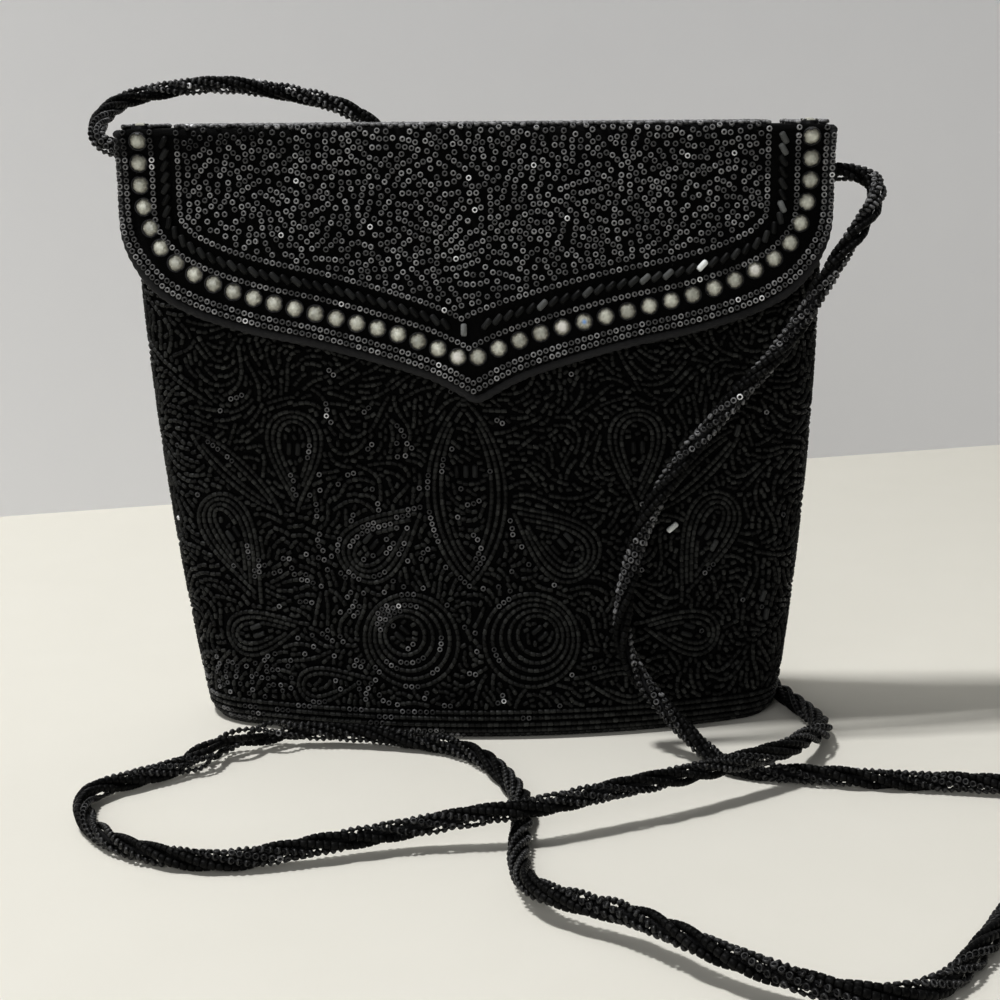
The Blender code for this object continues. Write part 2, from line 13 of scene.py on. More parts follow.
import bmesh
import bpy
import numpy as np
from bmesh.types import BMesh, BMVert
from bpy.types import Material, Mesh, Node, NodeSocket, NodeTree, Object
from mathutils import Matrix, Vector


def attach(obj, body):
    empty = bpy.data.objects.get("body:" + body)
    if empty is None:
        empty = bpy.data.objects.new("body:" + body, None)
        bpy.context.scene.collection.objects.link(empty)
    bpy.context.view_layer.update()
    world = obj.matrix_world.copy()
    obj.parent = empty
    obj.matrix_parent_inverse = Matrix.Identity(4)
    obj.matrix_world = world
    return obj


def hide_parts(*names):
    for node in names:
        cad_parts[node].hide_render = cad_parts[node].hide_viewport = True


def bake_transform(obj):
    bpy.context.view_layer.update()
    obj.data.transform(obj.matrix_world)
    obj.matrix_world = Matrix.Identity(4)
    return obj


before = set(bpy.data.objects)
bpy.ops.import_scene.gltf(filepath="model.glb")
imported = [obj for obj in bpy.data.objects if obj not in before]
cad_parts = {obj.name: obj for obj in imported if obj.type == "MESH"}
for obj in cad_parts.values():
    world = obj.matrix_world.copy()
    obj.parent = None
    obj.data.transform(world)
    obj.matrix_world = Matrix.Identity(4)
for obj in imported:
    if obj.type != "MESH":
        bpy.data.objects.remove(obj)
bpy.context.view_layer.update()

LOG = logging.getLogger("evening_bag")
SAME_PLACE = 0.000001
SURFACE_STEP = 0.0002

Colour = tuple[float, float, float]
Point = tuple[float, float, float]
Array = np.ndarray


class Body(str, Enum):
    """The moving bodies that a piece can ride on."""

    BAG = "bag"
    FLAP_TOP = "flap_top"
    FLAP_FRONT = "flap_front"


class Slot(str, Enum):
    """The record's material slots, passed along with new pieces."""

    BEADED_CLOTH = "beaded_cloth"
    SATIN = "satin_lining"
    PIPING = "piping_cord"
    STONE = "rhinestone"
    THREAD = "strap_thread"
    ROPE = "bead_rope"


# Curves and small geometry


def smooth_curve(points: Sequence[Sequence[float]], steps: int) -> Array:
    """Runs a centripetal Catmull-Rom curve through points.

    Args:
        points: The points that the curve passes.
        steps: How many steps each span takes.

    Returns:
        The curve's points, one to a row.
    """
    knots = np.array(points, float)
    knots = np.vstack((2 * knots[0] - knots[1], knots, 2 * knots[-1] - knots[-2]))
    share = np.linspace(0, 1, steps, endpoint=False)[:, None]
    spans = []
    for before, start, end, after in zip(knots, knots[1:], knots[2:], knots[3:]):
        pairs = ((before, start), (start, end), (end, after))
        enter, leave, close = np.cumsum([np.linalg.norm(b - a) ** 0.5 for a, b in pairs])
        t = enter + (leave - enter) * share
        middle = start + (end - start) * share
        early = before + (start - before) * t / enter
        early = early + (middle - early) * t / leave
        late = end + (after - end) * (t - leave) / (close - leave)
        late = middle + (late - middle) * (t - enter) / (close - enter)
        spans.append(early + (late - early) * share)
    return np.vstack((*spans, knots[-2]))


def run_lengths(curve: Array) -> Array:
    """Returns the distance along a curve at each of its points."""
    return np.concatenate(([0.0], np.cumsum(np.linalg.norm(np.diff(curve, axis=0), axis=1))))


def points_at(curve: Array, places: Array) -> Array:
    """Returns the points at given distances along a curve."""
    runs = run_lengths(curve)
    return np.stack([np.interp(places, runs, column) for column in curve.T], axis=-1)


def even_points(curve: Array, pitch: float) -> Array:
    """Returns points along a curve at an even pitch, as near to the one asked as fits."""
    total = run_lengths(curve)[-1]
    count = max(round(total / pitch), 1)
    return points_at(curve, np.linspace(0, total, count + 1))


def unit(vectors: Array) -> Array:
    """Returns vectors scaled to a length of one."""
    return vectors / np.linalg.norm(vectors, axis=-1, keepdims=True)


def tangents(curve: Array) -> Array:
    """Returns the unit direction of a curve at each of its points."""
    return unit(np.gradient(curve, axis=0))


# Shader graphs


class Graph:
    """A short way to add and link nodes in a node tree."""

    def __init__(self, tree: NodeTree) -> None:
        """Takes the tree that the nodes go into."""
        self.tree = tree

    def node(self, kind: str, **settings: object) -> Node:
        """Adds a node.

        Args:
            kind: The node's type without the ShaderNode prefix, or a full type name.
            settings: Properties to set on it.

        Returns:
            The new node.
        """
        full = kind if kind.startswith("Node") else f"ShaderNode{kind}"
        made = self.tree.nodes.new(full)
        for name, value in settings.items():
            setattr(made, name, value)
        return made

    def feed(self, target: NodeSocket, value: object) -> None:
        """Links a socket to an input, or sets the input's own value."""
        if isinstance(value, NodeSocket):
            self.tree.links.new(value, target)
        elif isinstance(value, tuple) and len(value) == 3 and target.type == "RGBA":
            target.default_value = (*value, 1.0)
        else:
            target.default_value = value

    def math(self, operation: str, first: object, second: object = 0.0) -> NodeSocket:
        """Adds a Math node and returns its value."""
        made = self.node("Math", operation=operation)
        self.feed(made.inputs[0], first)
        self.feed(made.inputs[1], second)
        return made.outputs[0]

    def mix(self, share: object, first: object, second: object) -> NodeSocket:
        """Adds a colour Mix node and returns its colour."""
        made = self.node("Mix", data_type="RGBA")
        self.feed(made.inputs[0], share)
        self.feed(made.inputs[6], first)
        self.feed(made.inputs[7], second)
        return made.outputs[2]

    def remap(self, value: object, low: object, high: object) -> NodeSocket:
        """Adds a Map Range node from 0..1 to low..high and returns its value."""
        made = self.node("MapRange")
        self.feed(made.inputs["Value"], value)
        self.feed(made.inputs["To Min"], low)
        self.feed(made.inputs["To Max"], high)
        return made.outputs["Result"]

    def noise(self, vector: object, scale: object, detail: float) -> NodeSocket:
        """Adds a Noise Texture and returns its value."""
        made = self.node("TexNoise")
        self.feed(made.inputs["Vector"], vector)
        self.feed(made.inputs["Scale"], scale)
        made.inputs["Detail"].default_value = detail
        return made.outputs[0]


def new_group(name: str, inputs: Iterable[tuple], outputs: Iterable[tuple]) -> tuple:
    """Starts a shader node group.

    Args:
        name: The group's name.
        inputs: Name, socket type and default value of each input.
        outputs: Name and socket type of each output.

    Returns:
        The group's tree, its graph, its input sockets and its output sockets.
    """
    tree = bpy.data.node_groups.new(name, "ShaderNodeTree")
    for label, kind, value in inputs:
        socket = tree.interface.new_socket(label, in_out="INPUT", socket_type=kind)
        socket.default_value = value
    for label, kind in outputs:
        tree.interface.new_socket(label, in_out="OUTPUT", socket_type=kind)
    graph = Graph(tree)
    return tree, graph, graph.node("NodeGroupInput").outputs, graph.node("NodeGroupOutput").inputs


VALUE = "NodeSocketFloat"
COLOUR = "NodeSocketColor"


def bead_tone_group() -> NodeTree:
    """Builds the group that gives each bead its own tone, a painted highlight mixed in by its glint and its
    rim.
    """
    inputs = (("Dark", COLOUR, (0, 0, 0, 1)), ("Light", COLOUR, (1, 1, 1, 1)),
              ("Dull", VALUE, 0.4), ("Polish", VALUE, 0.1))
    tree, graph, into, out = new_group("Bead tone", inputs, (("Color", COLOUR), ("Roughness", VALUE)))
    glint = graph.node("Attribute", attribute_name="glint").outputs["Fac"]
    rim = graph.node("Attribute", attribute_name="rim").outputs["Fac"]
    # Painted highlight: the glint times the rim mixes the pale colour into the bead.
    lit = graph.math("MULTIPLY", glint, rim)
    graph.feed(out["Color"], graph.mix(lit, into["Dark"], into["Light"]))
    graph.feed(out["Roughness"], graph.remap(glint, into["Dull"], into["Polish"]))
    return tree


def weave_group() -> NodeTree:
    """Builds the group for woven threads, which follow the piece's own thread map in metres."""
    inputs = (("Pitch", VALUE, 0.0004), ("Slant", VALUE, 0.0))
    outputs = (("Height", VALUE), ("Shade", VALUE))
    tree, graph, into, out = new_group("Weave", inputs, outputs)
    across = graph.node("SeparateXYZ")
    graph.feed(across.inputs[0], graph.node("UVMap", uv_map="Thread").outputs[0])
    turns = graph.math("DIVIDE", tau, into["Pitch"])
    slanted = graph.math("MULTIPLY", across.outputs[1], into["Slant"])
    warp = graph.math("SINE", graph.math("MULTIPLY", graph.math("ADD", across.outputs[0], slanted), turns))
    weft = graph.math("SINE", graph.math("MULTIPLY", across.outputs[1], turns))
    height = graph.math("MULTIPLY", graph.math("ABSOLUTE", warp), graph.math("ABSOLUTE", weft))
    patch_scale, patch_detail, ground = 60.0, 4.0, 0.6
    patches = graph.noise(graph.node("TexCoord").outputs["Object"], patch_scale, patch_detail)
    graph.feed(out["Height"], height)
    graph.feed(out["Shade"], graph.math("MULTIPLY", graph.math("ADD", height, ground), patches))
    return tree


def wear_group() -> NodeTree:
    """Builds the group for handling marks: soft patches and fine scratches."""
    inputs = (("Patch scale", VALUE, 200.0), ("Scratch scale", VALUE, 2500.0))
    tree, graph, into, out = new_group("Wear", inputs, (("Mask", VALUE), ("Height", VALUE)))
    patch_detail, scratch_detail, ground = 3.0, 1.0, 0.4
    place = graph.node("TexCoord").outputs["Object"]
    patches = graph.noise(place, into["Patch scale"], patch_detail)
    scratches = graph.noise(place, into["Scratch scale"], scratch_detail)
    graph.feed(out["Mask"], graph.math("MULTIPLY", patches, graph.math("ADD", scratches, ground)))
    graph.feed(out["Height"], scratches)
    return tree


class Effects:
    """The shader groups that several finishes share, each built once."""

    def __init__(self) -> None:
        """Builds the groups."""
        self.bead_tone = bead_tone_group()
        self.weave = weave_group()
        self.wear = wear_group()


@dataclass(frozen=True)
class Finish:
    """A surface finish: a Principled shader with what changes over the surface fed by a group."""

    name: str
    colour: Colour
    second: Colour
    roughness: tuple[float, float]
    metallic: float = 0.0
    coat: float = 0.0
    sheen: float = 0.0
    specular: float = 0.5
    coat_roughness: float = 0.08

    def start(self) -> tuple[Material, Graph, Node]:
        """Starts the material with the values that are the same all over.

        Returns:
            The material, its graph and its Principled shader.
        """
        material = bpy.data.materials.new(self.name)
        material.use_nodes = True
        shader = material.node_tree.nodes["Principled BSDF"]
        shader.inputs["Metallic"].default_value = self.metallic
        shader.inputs["Coat Weight"].default_value = self.coat
        shader.inputs["Coat Roughness"].default_value = self.coat_roughness
        shader.inputs["Sheen Weight"].default_value = self.sheen
        shader.inputs["Specular IOR Level"].default_value = self.specular
        return material, Graph(material.node_tree), shader

    def group(self, graph: Graph, tree: NodeTree, **values: object) -> Node:
        """Places a shared group in the material with this finish's own values."""
        made = graph.node("Group", node_tree=tree)
        for name, value in values.items():
            graph.feed(made.inputs[name.replace("_", " ")], value)
        return made

    def bump(self, graph: Graph, shader: Node, height: object, depth: float) -> None:
        """Feeds the shader's normal from a height in metres."""
        made = graph.node("Bump")
        made.inputs["Distance"].default_value = depth
        graph.feed(made.inputs["Height"], height)
        graph.feed(shader.inputs["Normal"], made.outputs[0])


@dataclass(frozen=True)
class BeadFinish(Finish):
    """Glass beads: each one has its own tone, and its rim carries a painted highlight."""

    def material(self, effects: Effects) -> Material:
        """Builds the material."""
        material, graph, shader = self.start()
        dull, polish = self.roughness
        tone = self.group(graph, effects.bead_tone, Dark=self.colour, Light=self.second,
                          Dull=dull, Polish=polish)
        graph.feed(shader.inputs["Base Color"], tone.outputs["Color"])
        graph.feed(shader.inputs["Roughness"], tone.outputs["Roughness"])
        return material


@dataclass(frozen=True)
class ClothFinish(Finish):
    """Woven cloth, whose threads follow the piece."""

    pitch: float = 0.0004
    slant: float = 0.0
    depth: float = 0.00008

    def material(self, effects: Effects) -> Material:
        """Builds the material."""
        material, graph, shader = self.start()
        weave = self.group(graph, effects.weave, Pitch=self.pitch, Slant=self.slant)
        shade = weave.outputs["Shade"]
        graph.feed(shader.inputs["Base Color"], graph.mix(shade, self.colour, self.second))
        graph.feed(shader.inputs["Roughness"], graph.remap(shade, *self.roughness))
        self.bump(graph, shader, weave.outputs["Height"], self.depth)
        return material


@dataclass(frozen=True)
class WornFinish(Finish):
    """A hard surface with handling marks."""

    patch_scale: float = 200.0
    scratch_scale: float = 2500.0
    depth: float = 0.00002

    def material(self, effects: Effects) -> Material:
        """Builds the material."""
        material, graph, shader = self.start()
        wear = self.group(graph, effects.wear, Patch_scale=self.patch_scale,
                          Scratch_scale=self.scratch_scale)
        mask = wear.outputs["Mask"]
        graph.feed(shader.inputs["Base Color"], graph.mix(mask, self.colour, self.second))
        graph.feed(shader.inputs["Roughness"], graph.remap(mask, *self.roughness))
        self.bump(graph, shader, wear.outputs["Height"], self.depth)
        return material


@dataclass(frozen=True)
class BackdropFinish(WornFinish):
    """A hanging behind the object: it glows a little where it is seen, and shows from its front alone."""

    glow: Colour = (0.0, 0.0, 0.0)

    def material(self, effects: Effects) -> Material:
        """Builds the material."""
        material = super().material(effects)
        graph = Graph(material.node_tree)
        shader, output = (material.node_tree.nodes[name] for name in ("Principled BSDF", "Material Output"))
        rays = graph.node("LightPath").outputs
        seen = graph.math("MAXIMUM", rays["Is Glossy Ray"], rays["Is Transmission Ray"])
        graph.feed(shader.inputs["Emission Color"], self.glow)
        graph.feed(shader.inputs["Emission Strength"], graph.math("MAXIMUM", rays["Is Camera Ray"], seen))
        sides = graph.node("MixShader")
        graph.feed(sides.inputs[0], graph.node("NewGeometry").outputs["Backfacing"])
        graph.feed(sides.inputs[1], shader.outputs[0])
        graph.feed(sides.inputs[2], graph.node("BsdfTransparent").outputs[0])
        graph.feed(output.inputs["Surface"], sides.outputs[0])
        return material


@dataclass(frozen=True)
class StoneFinish(Finish):
    """Pale stones: each has its own tint with painted shade and highlights, and painted streaks of shade run
    out from its middle.
    """

    shading_noise_scale: float = 900.0
    grain_scale: float = 3000.0

    def material(self, effects: Effects) -> Material:
        """Builds the material."""
        material, graph, shader = self.start()
        tint_and_light = graph.node("Attribute", attribute_name="tint_and_light").outputs["Color"]
        streak_shade = graph.node("Attribute", attribute_name="streak_shade").outputs["Fac"]
        wear = self.group(graph, effects.wear, Patch_scale=self.shading_noise_scale, Scratch_scale=self.grain_scale)
        # Painted shade: the wear noise breaks the stone's slope into darker streaks; the same noise sets the
        # roughness.
        slope_shading = graph.math("MULTIPLY", wear.outputs["Mask"], streak_shade)
        graph.feed(shader.inputs["Base Color"], graph.mix(slope_shading, tint_and_light, self.second))
        graph.feed(shader.inputs["Roughness"], graph.remap(wear.outputs["Mask"], *self.roughness))
        return material


# In the bead finishes the second colour is the painted highlight, which each bead's glint and rim mix in.
FLAP_BEAD = BeadFinish("flap bead glass", (0.002, 0.002, 0.002), (0.92, 0.92, 0.94), (0.40, 0.22),
                       specular=0.3)
BODY_BEAD = BeadFinish("body bead glass", (0.002, 0.002, 0.002), (0.034, 0.035, 0.033), (0.55, 0.35),
                       specular=0.12)
ROPE_BEAD = BeadFinish("rope bead glass", (0.0015, 0.0015, 0.0015), (0.010, 0.010, 0.010), (0.50, 0.35),
                       specular=0.06)
BUGLE = BeadFinish("bugle glass", (0.0015, 0.0016, 0.0016), (0.90, 0.93, 0.92), (0.50, 0.25), specular=0.1)
# The stone finish's second colour is the painted shade of its streaks.
STONE = StoneFinish("rhinestone", (0.75, 0.72, 0.63), (0.20, 0.18, 0.14), (0.10, 0.25), coat=0.3)
CUP = WornFinish("stone cup", (0.010, 0.010, 0.011), (0.03, 0.03, 0.032), (0.40, 0.60), metallic=0.6)
CLOTH = ClothFinish("black ground cloth", (0.001, 0.001, 0.001), (0.0035, 0.0035, 0.0036), (0.85, 0.95),
                    specular=0.06)
SATIN = ClothFinish("black satin", (0.012, 0.012, 0.014), (0.040, 0.040, 0.045), (0.28, 0.42),
                    sheen=0.25, pitch=0.00035, slant=0.35, depth=0.00003)
CORD = ClothFinish("piping cord cover", (0.010, 0.010, 0.0105), (0.034, 0.034, 0.036), (0.8, 0.95),
                   specular=0.15, pitch=0.0005, slant=1.0)
WRAP = ClothFinish("strap thread", (0.004, 0.004, 0.0045), (0.018, 0.018, 0.019), (0.6, 0.8), specular=0.1,
                   pitch=0.0004)
BUCKRAM = WornFinish("buckram", (0.50, 0.45, 0.37), (0.62, 0.57, 0.48), (0.8, 0.95),
                     patch_scale=600.0, scratch_scale=1800.0, depth=0.00006)
NICKEL = WornFinish("worn nickel", (0.62, 0.60, 0.57), (0.40, 0.38, 0.35), (0.18, 0.40), metallic=1.0)
FLOOR = WornFinish("pale floor", (0.82, 0.795, 0.71), (0.86, 0.835, 0.755), (0.75, 0.85),
                   patch_scale=3.0, scratch_scale=40.0, depth=0.00001)
BACKDROP = BackdropFinish("pale backdrop", (0.79, 0.79, 0.79), (0.82, 0.82, 0.82), (0.8, 0.9),
                          patch_scale=3.0, scratch_scale=40.0, depth=0.00001, glow=(0.11, 0.11, 0.12))


# Shapes of the bag that the frame's solids have


@dataclass
class BodyShape:
    """The bag body: a tapered oval with rounded foot, over the cloth."""

    height: float = 0.1604
    base_half_width: float = 0.0800
    mouth_half_width: float = 0.0920
    base_half_depth: float = 0.0285
    mouth_half_depth: float = 0.0110
    base_end_radius: float = 0.0170
    mouth_end_radius: float = 0.0080
    side_bulge: float = 0.0032
    face_bulge: float = 0.0012
    lean: float = 0.0034
    fillet: float = 0.0050
    heights: int = 40
    turns: int = 241

    def __post_init__(self) -> None:
        """Tabulates the arc lengths round the oval, by height."""
        self.rows = np.linspace(0, self.height, self.heights)
        self.quarters = np.linspace(0, 2, self.turns)
        outline = self.oval(self.rows[:, None], 0.0, (1 - self.quarters[None, :]) % 4)
        steps = np.linalg.norm(np.diff(outline, axis=1), axis=2)
        runs = np.concatenate((np.zeros((self.heights, 1)), np.cumsum(steps, axis=1)), axis=1)
        self.half_round = runs[:, -1]
        shares = np.linspace(0, 1, self.turns)
        self.quarter_at = np.array([np.interp(shares, run / run[-1], self.quarters) for run in runs])

    def oval(self, z: Array, inset: Array, turn: Array) -> Array:
        """Finds points of the oval.

        Args:
            z: Heights.
            inset: How far the oval is drawn in.
            turn: 0 at the right end, 1 at the front, 2 at the left end, 3 at the back.

        Returns:
            The points, in the last axis.
        """
        z, inset, turn = np.broadcast_arrays(np.asarray(z, float), inset, turn)
        share = np.clip(z / self.height, 0, 1)
        swell = 4 * share * (1 - share)
        width = self.base_half_width + (self.mouth_half_width - self.base_half_width) * share
        width = width + self.side_bulge * swell - inset
        depth = self.face_depth(share) - inset
        radius = self.base_end_radius + (self.mouth_end_radius - self.base_end_radius) * share - inset
        broad = ((width - radius) ** 2 + depth ** 2 - radius ** 2) / (2 * (depth - radius))
        tangent = np.arctan2(broad - depth, width - radius)
        quarter = np.where(turn % 2 <= 1, turn % 2, 2 - turn % 2)
        end = tangent * quarter * 2
        face = tangent + (pi / 2 - tangent) * (quarter * 2 - 1)
        on_end = quarter <= 0.5
        x = np.where(on_end, width - radius + radius * np.cos(end), broad * np.cos(face))
        y = np.where(on_end, radius * np.sin(end), depth - broad + broad * np.sin(face))
        x = np.where((turn <= 1) | (turn >= 3), x, -x) + self.lean * (1 - z / self.height)
        return np.stack((x, np.where(turn <= 2, -y, y), z), axis=-1)

    def face_depth(self, share: Array) -> Array:
        """Returns the oval's half depth at shares of the height."""
        taper = (self.mouth_half_depth - self.base_half_depth) * share
        return self.base_half_depth + taper + self.face_bulge * 4 * share * (1 - share)

    def half_way(self, z: Array) -> Array:
        """Returns the length of half the oval at heights."""
        return np.interp(z, self.rows, self.half_round)

    def wall(self, across: Array, up: Array, inset: float = 0.0) -> Array:
        """Finds points of the wall.

        Args:
            across: Length round the oval from the middle of the front, to the right.
            up: Height, and below the fillet's top the length down round the fillet.
            inset: How far the wall is drawn in.

        Returns:
            The points, in the last axis.
        """
        across, up = np.broadcast_arrays(np.asarray(across, float), np.asarray(up, float))
        angle = np.clip((self.fillet - up) / self.fillet, 0, pi / 2)
        inner = self.fillet - inset
        z = np.where(up < self.fillet, self.fillet - inner * np.sin(angle), up)
        depth = np.where(up < self.fillet, self.fillet - inner * np.cos(angle), inset)
        share = np.clip(np.abs(across) / self.half_way(z), 0, 1)
        row = np.clip(z / self.height * (self.heights - 1), 0, self.heights - 1.001)
        column = np.clip(share * (self.turns - 1), 0, self.turns - 1.001)
        i, j = row.astype(int), column.astype(int)
        a, b = row - i, column - j
        table = self.quarter_at
        quarter = ((table[i, j] * (1 - b) + table[i, j + 1] * b) * (1 - a)
                   + (table[i + 1, j] * (1 - b) + table[i + 1, j + 1] * b) * a)
        turn = np.where(across >= 0, (1 - quarter) % 4, 1 + quarter)
        return self.oval(z, depth, np.where(turn >= 4, 3.0, turn))

    def base_half_depth_at(self, x: Array, z: float, inset: float) -> Array:
        """Returns the oval's half depth at places along its length, measured from its own middle."""
        turn = np.linspace(0, 1, 400)
        outline = self.oval(z, inset, turn)
        middle = self.lean * (1 - z / self.height)
        return np.interp(np.abs(x), (outline[:, 0] - middle)[::-1], -outline[::-1, 1])


@dataclass
class FlapShape:
    """The flap: a hanging front with a pointed edge, a front fold, a top strip and a back fold."""

    body: BodyShape
    half_width: float = 0.0914
    clearance: float = 0.0036
    sag: float = 0.0040
    side_drop: float = 0.0185
    corner: tuple = ((0.0006, 0.0245), (0.0032, 0.0308), (0.0080, 0.0370), (0.0160, 0.0420))
    sweep: tuple = ((0.0600, 0.0471), (0.0400, 0.0513), (0.0220, 0.0561), (0.0105, 0.0600))
    point_drop: float = 0.0656
    stone_corner: tuple = ((0.0042, 0.0008), (0.0040, 0.0100), (0.0052, 0.0185), (0.0085, 0.0264),
                           (0.0121, 0.0304), (0.0190, 0.0346), (0.0270, 0.0381))
    stone_sweep: tuple = ((0.0530, 0.0414), (0.0360, 0.0454), (0.0190, 0.0496), (0.0080, 0.0535),
                          (0.0000, 0.0568))
    stone_shift: float = 0.0025
    stack: float = 0.0029
    seam_gap: float = 0.0003

    def __post_init__(self) -> None:
        """Works out the folds' places."""
        self.radius = self.stack / 2
        self.fold_height = self.body.height + self.seam_gap + self.radius
        self.front_fold = -(self.body.mouth_half_depth + self.clearance + self.radius)
        self.back_fold = self.body.mouth_half_depth - self.radius
        self.turn_length = self.radius * pi / 2
        self.strip_start = self.fold_height + self.turn_length
        self.strip_end = self.strip_start + self.back_fold - self.front_fold
        self.wall_start = self.strip_end + self.turn_length

    def route(self, corner: Sequence, sweep: Sequence) -> Array:
        """Returns a smooth curve down the right corner and along the sweep, as x and z."""
        points = [(self.half_width - inset, drop) for inset, drop in corner] + list(sweep)
        return smooth_curve([(x, self.body.height - drop) for x, drop in points], 12)

    def edge(self) -> Array:
        """Returns the right half of the flap's edge from the fold to its point, as x and z."""
        lower = self.route([(0.0, self.side_drop), *self.corner], [*self.sweep, (0.0, self.point_drop)])
        return np.vstack(((self.half_width, self.fold_height), lower))

    def front(self, x: Array, z: Array, depth: float = 0.0) -> Array:
        """Returns points of the hanging front, so deep under its face."""
        face = self.body.face_depth(np.clip(z / self.body.height, 0, 1))
        drop = (self.fold_height - z) / (self.fold_height - self.body.height + self.side_drop)
        sag = self.sag * (1 - np.clip(1 - drop, 0, 1) ** 2) * (x / self.half_width) ** 2
        return np.stack((x, sag - face - self.clearance - self.stack + depth, z), axis=-1)

    def shifted(self, places: Array, shift: float) -> Array:
        """Moves places to the left by a shift that fades to nothing at the flap's sides."""
        x = places[:, 0] - shift * (1 - np.abs(places[:, 0]) / self.half_width)
        return np.stack((x, places[:, 1]), axis=-1)

    def cloth(self, x: Array, up: Array) -> Array:
        """Finds points of the outer cloth.

        Args:
            x: Place across the flap.
            up: Height on the front, and above the front fold the length on over the folds.

        Returns:
            The points, in the last axis.
        """
        x, up = np.broadcast_arrays(np.asarray(x, float), np.asarray(up, float))
        points = self.front(x, np.minimum(up, self.fold_height))
        turn = np.clip((up - self.fold_height) / self.radius, 0, pi / 2)
        roof = self.fold_height + self.radius
        y = self.front_fold - self.radius * np.cos(turn)
        z = self.fold_height + self.radius * np.sin(turn)
        y = np.where(up > self.strip_start, self.front_fold + up - self.strip_start, y)
        z = np.where(up > self.strip_start, roof, z)
        back = np.clip((up - self.strip_end) / self.radius, 0, pi / 2)
        y = np.where(up > self.strip_end, self.back_fold + self.radius * np.sin(back), y)
        z = np.where(up > self.strip_end, self.fold_height + self.radius * np.cos(back), z)
        z = np.where(up > self.wall_start, self.fold_height - (up - self.wall_start), z)
        over = np.stack((x, y, z), axis=-1)
        return np.where((up > self.fold_height)[..., None], over, points)


def surface_frame(surface: Callable[[Array, Array], Array], a: Array, b: Array) -> tuple:
    """Finds places on a surface with their directions.

    Args:
        surface: A function of two surface lengths.
        a: The first surface length at each place.
        b: The second.

    Returns:
        Points, the directions along the two lengths and the outward normals.
    """
    along = unit(surface(a + SURFACE_STEP, b) - surface(a - SURFACE_STEP, b))
    up = surface(a, b + SURFACE_STEP) - surface(a, b - SURFACE_STEP)
    normal = unit(np.cross(along, up))
    return surface(a, b), along, np.cross(normal, along), normal


# Pieces


@dataclass(frozen=True)
class Fold:
    """A fold between two bodies, and the points where the bend over it starts and ends."""

    first: Body
    second: Body
    start: Point
    end: Point


class Workshop:
    """Makes finished pieces: builds meshes into objects, sets them on their bodies and hides the frame's
    nodes that they stand for.
    """

    def __init__(self) -> None:
        """Builds the shared shader effects."""
        self.effects = Effects()
        self.materials: dict[str, Material] = {}

    def material(self, finish: Finish) -> Material:
        """Returns the finish's material, made once."""
        if finish.name not in self.materials:
            self.materials[finish.name] = finish.material(self.effects)
        return self.materials[finish.name]

    def show(self, name: str, mesh: Mesh, finish: Finish) -> Object:
        """Puts a mesh in the scene with its finish."""
        piece = bpy.data.objects.new(name, mesh)
        mesh.materials.clear()
        mesh.materials.append(self.material(finish))
        bpy.context.scene.collection.objects.link(piece)
        return piece

    def piece(self, name: str, mesh: Mesh, finish: Finish, slot: Slot, body: Body | Fold,
              replaced: Sequence[str] = ()) -> Object:
        """Makes a piece.

        Args:
            name: The piece's name.
            mesh: Its mesh, in place.
            finish: Its finish.
            slot: The record's material slot; not used.
            body: The body that it rides on, or the fold that it lies across, which leaves it unattached.
            replaced: The frame's nodes that it stands for.

        Returns:
            The piece's object.
        """
        made = self.show(name, mesh, finish)
        if isinstance(body, Fold):
            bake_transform(made)
        else:
            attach(made, body.value)
        if replaced:
            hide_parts(*replaced)
        LOG.info("%s: %d faces", made.name, len(made.data.polygons))
        return made

    def dress_node(self, node: str, finish: Finish) -> None:
        """Gives one of the frame's own nodes a finish."""
        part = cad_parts[node]
        part.data.materials.clear()
        part.data.materials.append(self.material(finish))
        LOG.info("%s keeps its solid", node)


def mesh_from(bm: BMesh, name: str, smooth: bool = True) -> Mesh:
    """Turns a bmesh into a mesh and frees it.

    Args:
        bm: The bmesh.
        name: The mesh's name.
        smooth: Whether its faces are shaded smooth.

    Returns:
        The mesh.
    """
    for face in bm.faces:
        face.smooth = smooth
    mesh = bpy.data.meshes.new(name)
    bm.to_mesh(mesh)
    bm.free()
    return mesh


def placed_grid(columns: int, rows: int, place: Callable[[Array, Array], Array],
                thread: tuple[float, float]) -> BMesh:
    """Lays a grid of faces over a surface.

    Args:
        columns: Faces across.
        rows: Faces up.
        place: Gives the points for shares across and up.
        thread: The cloth's width and length, for its thread map.

    Returns:
        The grid, with a thread map in metres.
    """
    bm = bmesh.new()
    layer = bm.loops.layers.uv.new("Thread")
    bmesh.ops.create_grid(bm, x_segments=columns, y_segments=rows, size=0.5)
    shares = np.array([vert.co[:2] for vert in bm.verts]) + 0.5
    for face in bm.faces:
        for loop in face.loops:
            x, y, _ = loop.vert.co
            loop[layer].uv = ((x + 0.5) * thread[0], (y + 0.5) * thread[1])
    for vert, point in zip(bm.verts, place(shares[:, 0], shares[:, 1])):
        vert.co = point
    bm.normal_update()
    return bm


def face_outwards(bm: BMesh, towards: Callable[[Vector], Sequence[float]]) -> None:
    """Turns an open sheet's faces over if they point away from a direction."""
    facing = sum(face.normal.dot(Vector(towards(face.calc_center_median()))) for face in bm.faces)
    if facing < 0:
        bmesh.ops.reverse_faces(bm, faces=bm.faces)
        bm.normal_update()


def sheet_mesh(bm: BMesh, name: str, thickness: float,
               towards: Callable[[Vector], Sequence[float]]) -> Mesh:
    """Turns an open sheet's faces out, and gives it its thickness under its outer face.

    Args:
        bm: The sheet.
        name: The mesh's name.
        thickness: The cloth's thickness.
        towards: The way out at a point of the sheet.

    Returns:
        The mesh.
    """
    face_outwards(bm, towards)
    bmesh.ops.solidify(bm, geom=bm.faces[:], thickness=thickness)
    bmesh.ops.recalc_face_normals(bm, faces=bm.faces[:])
    return mesh_from(bm, name)


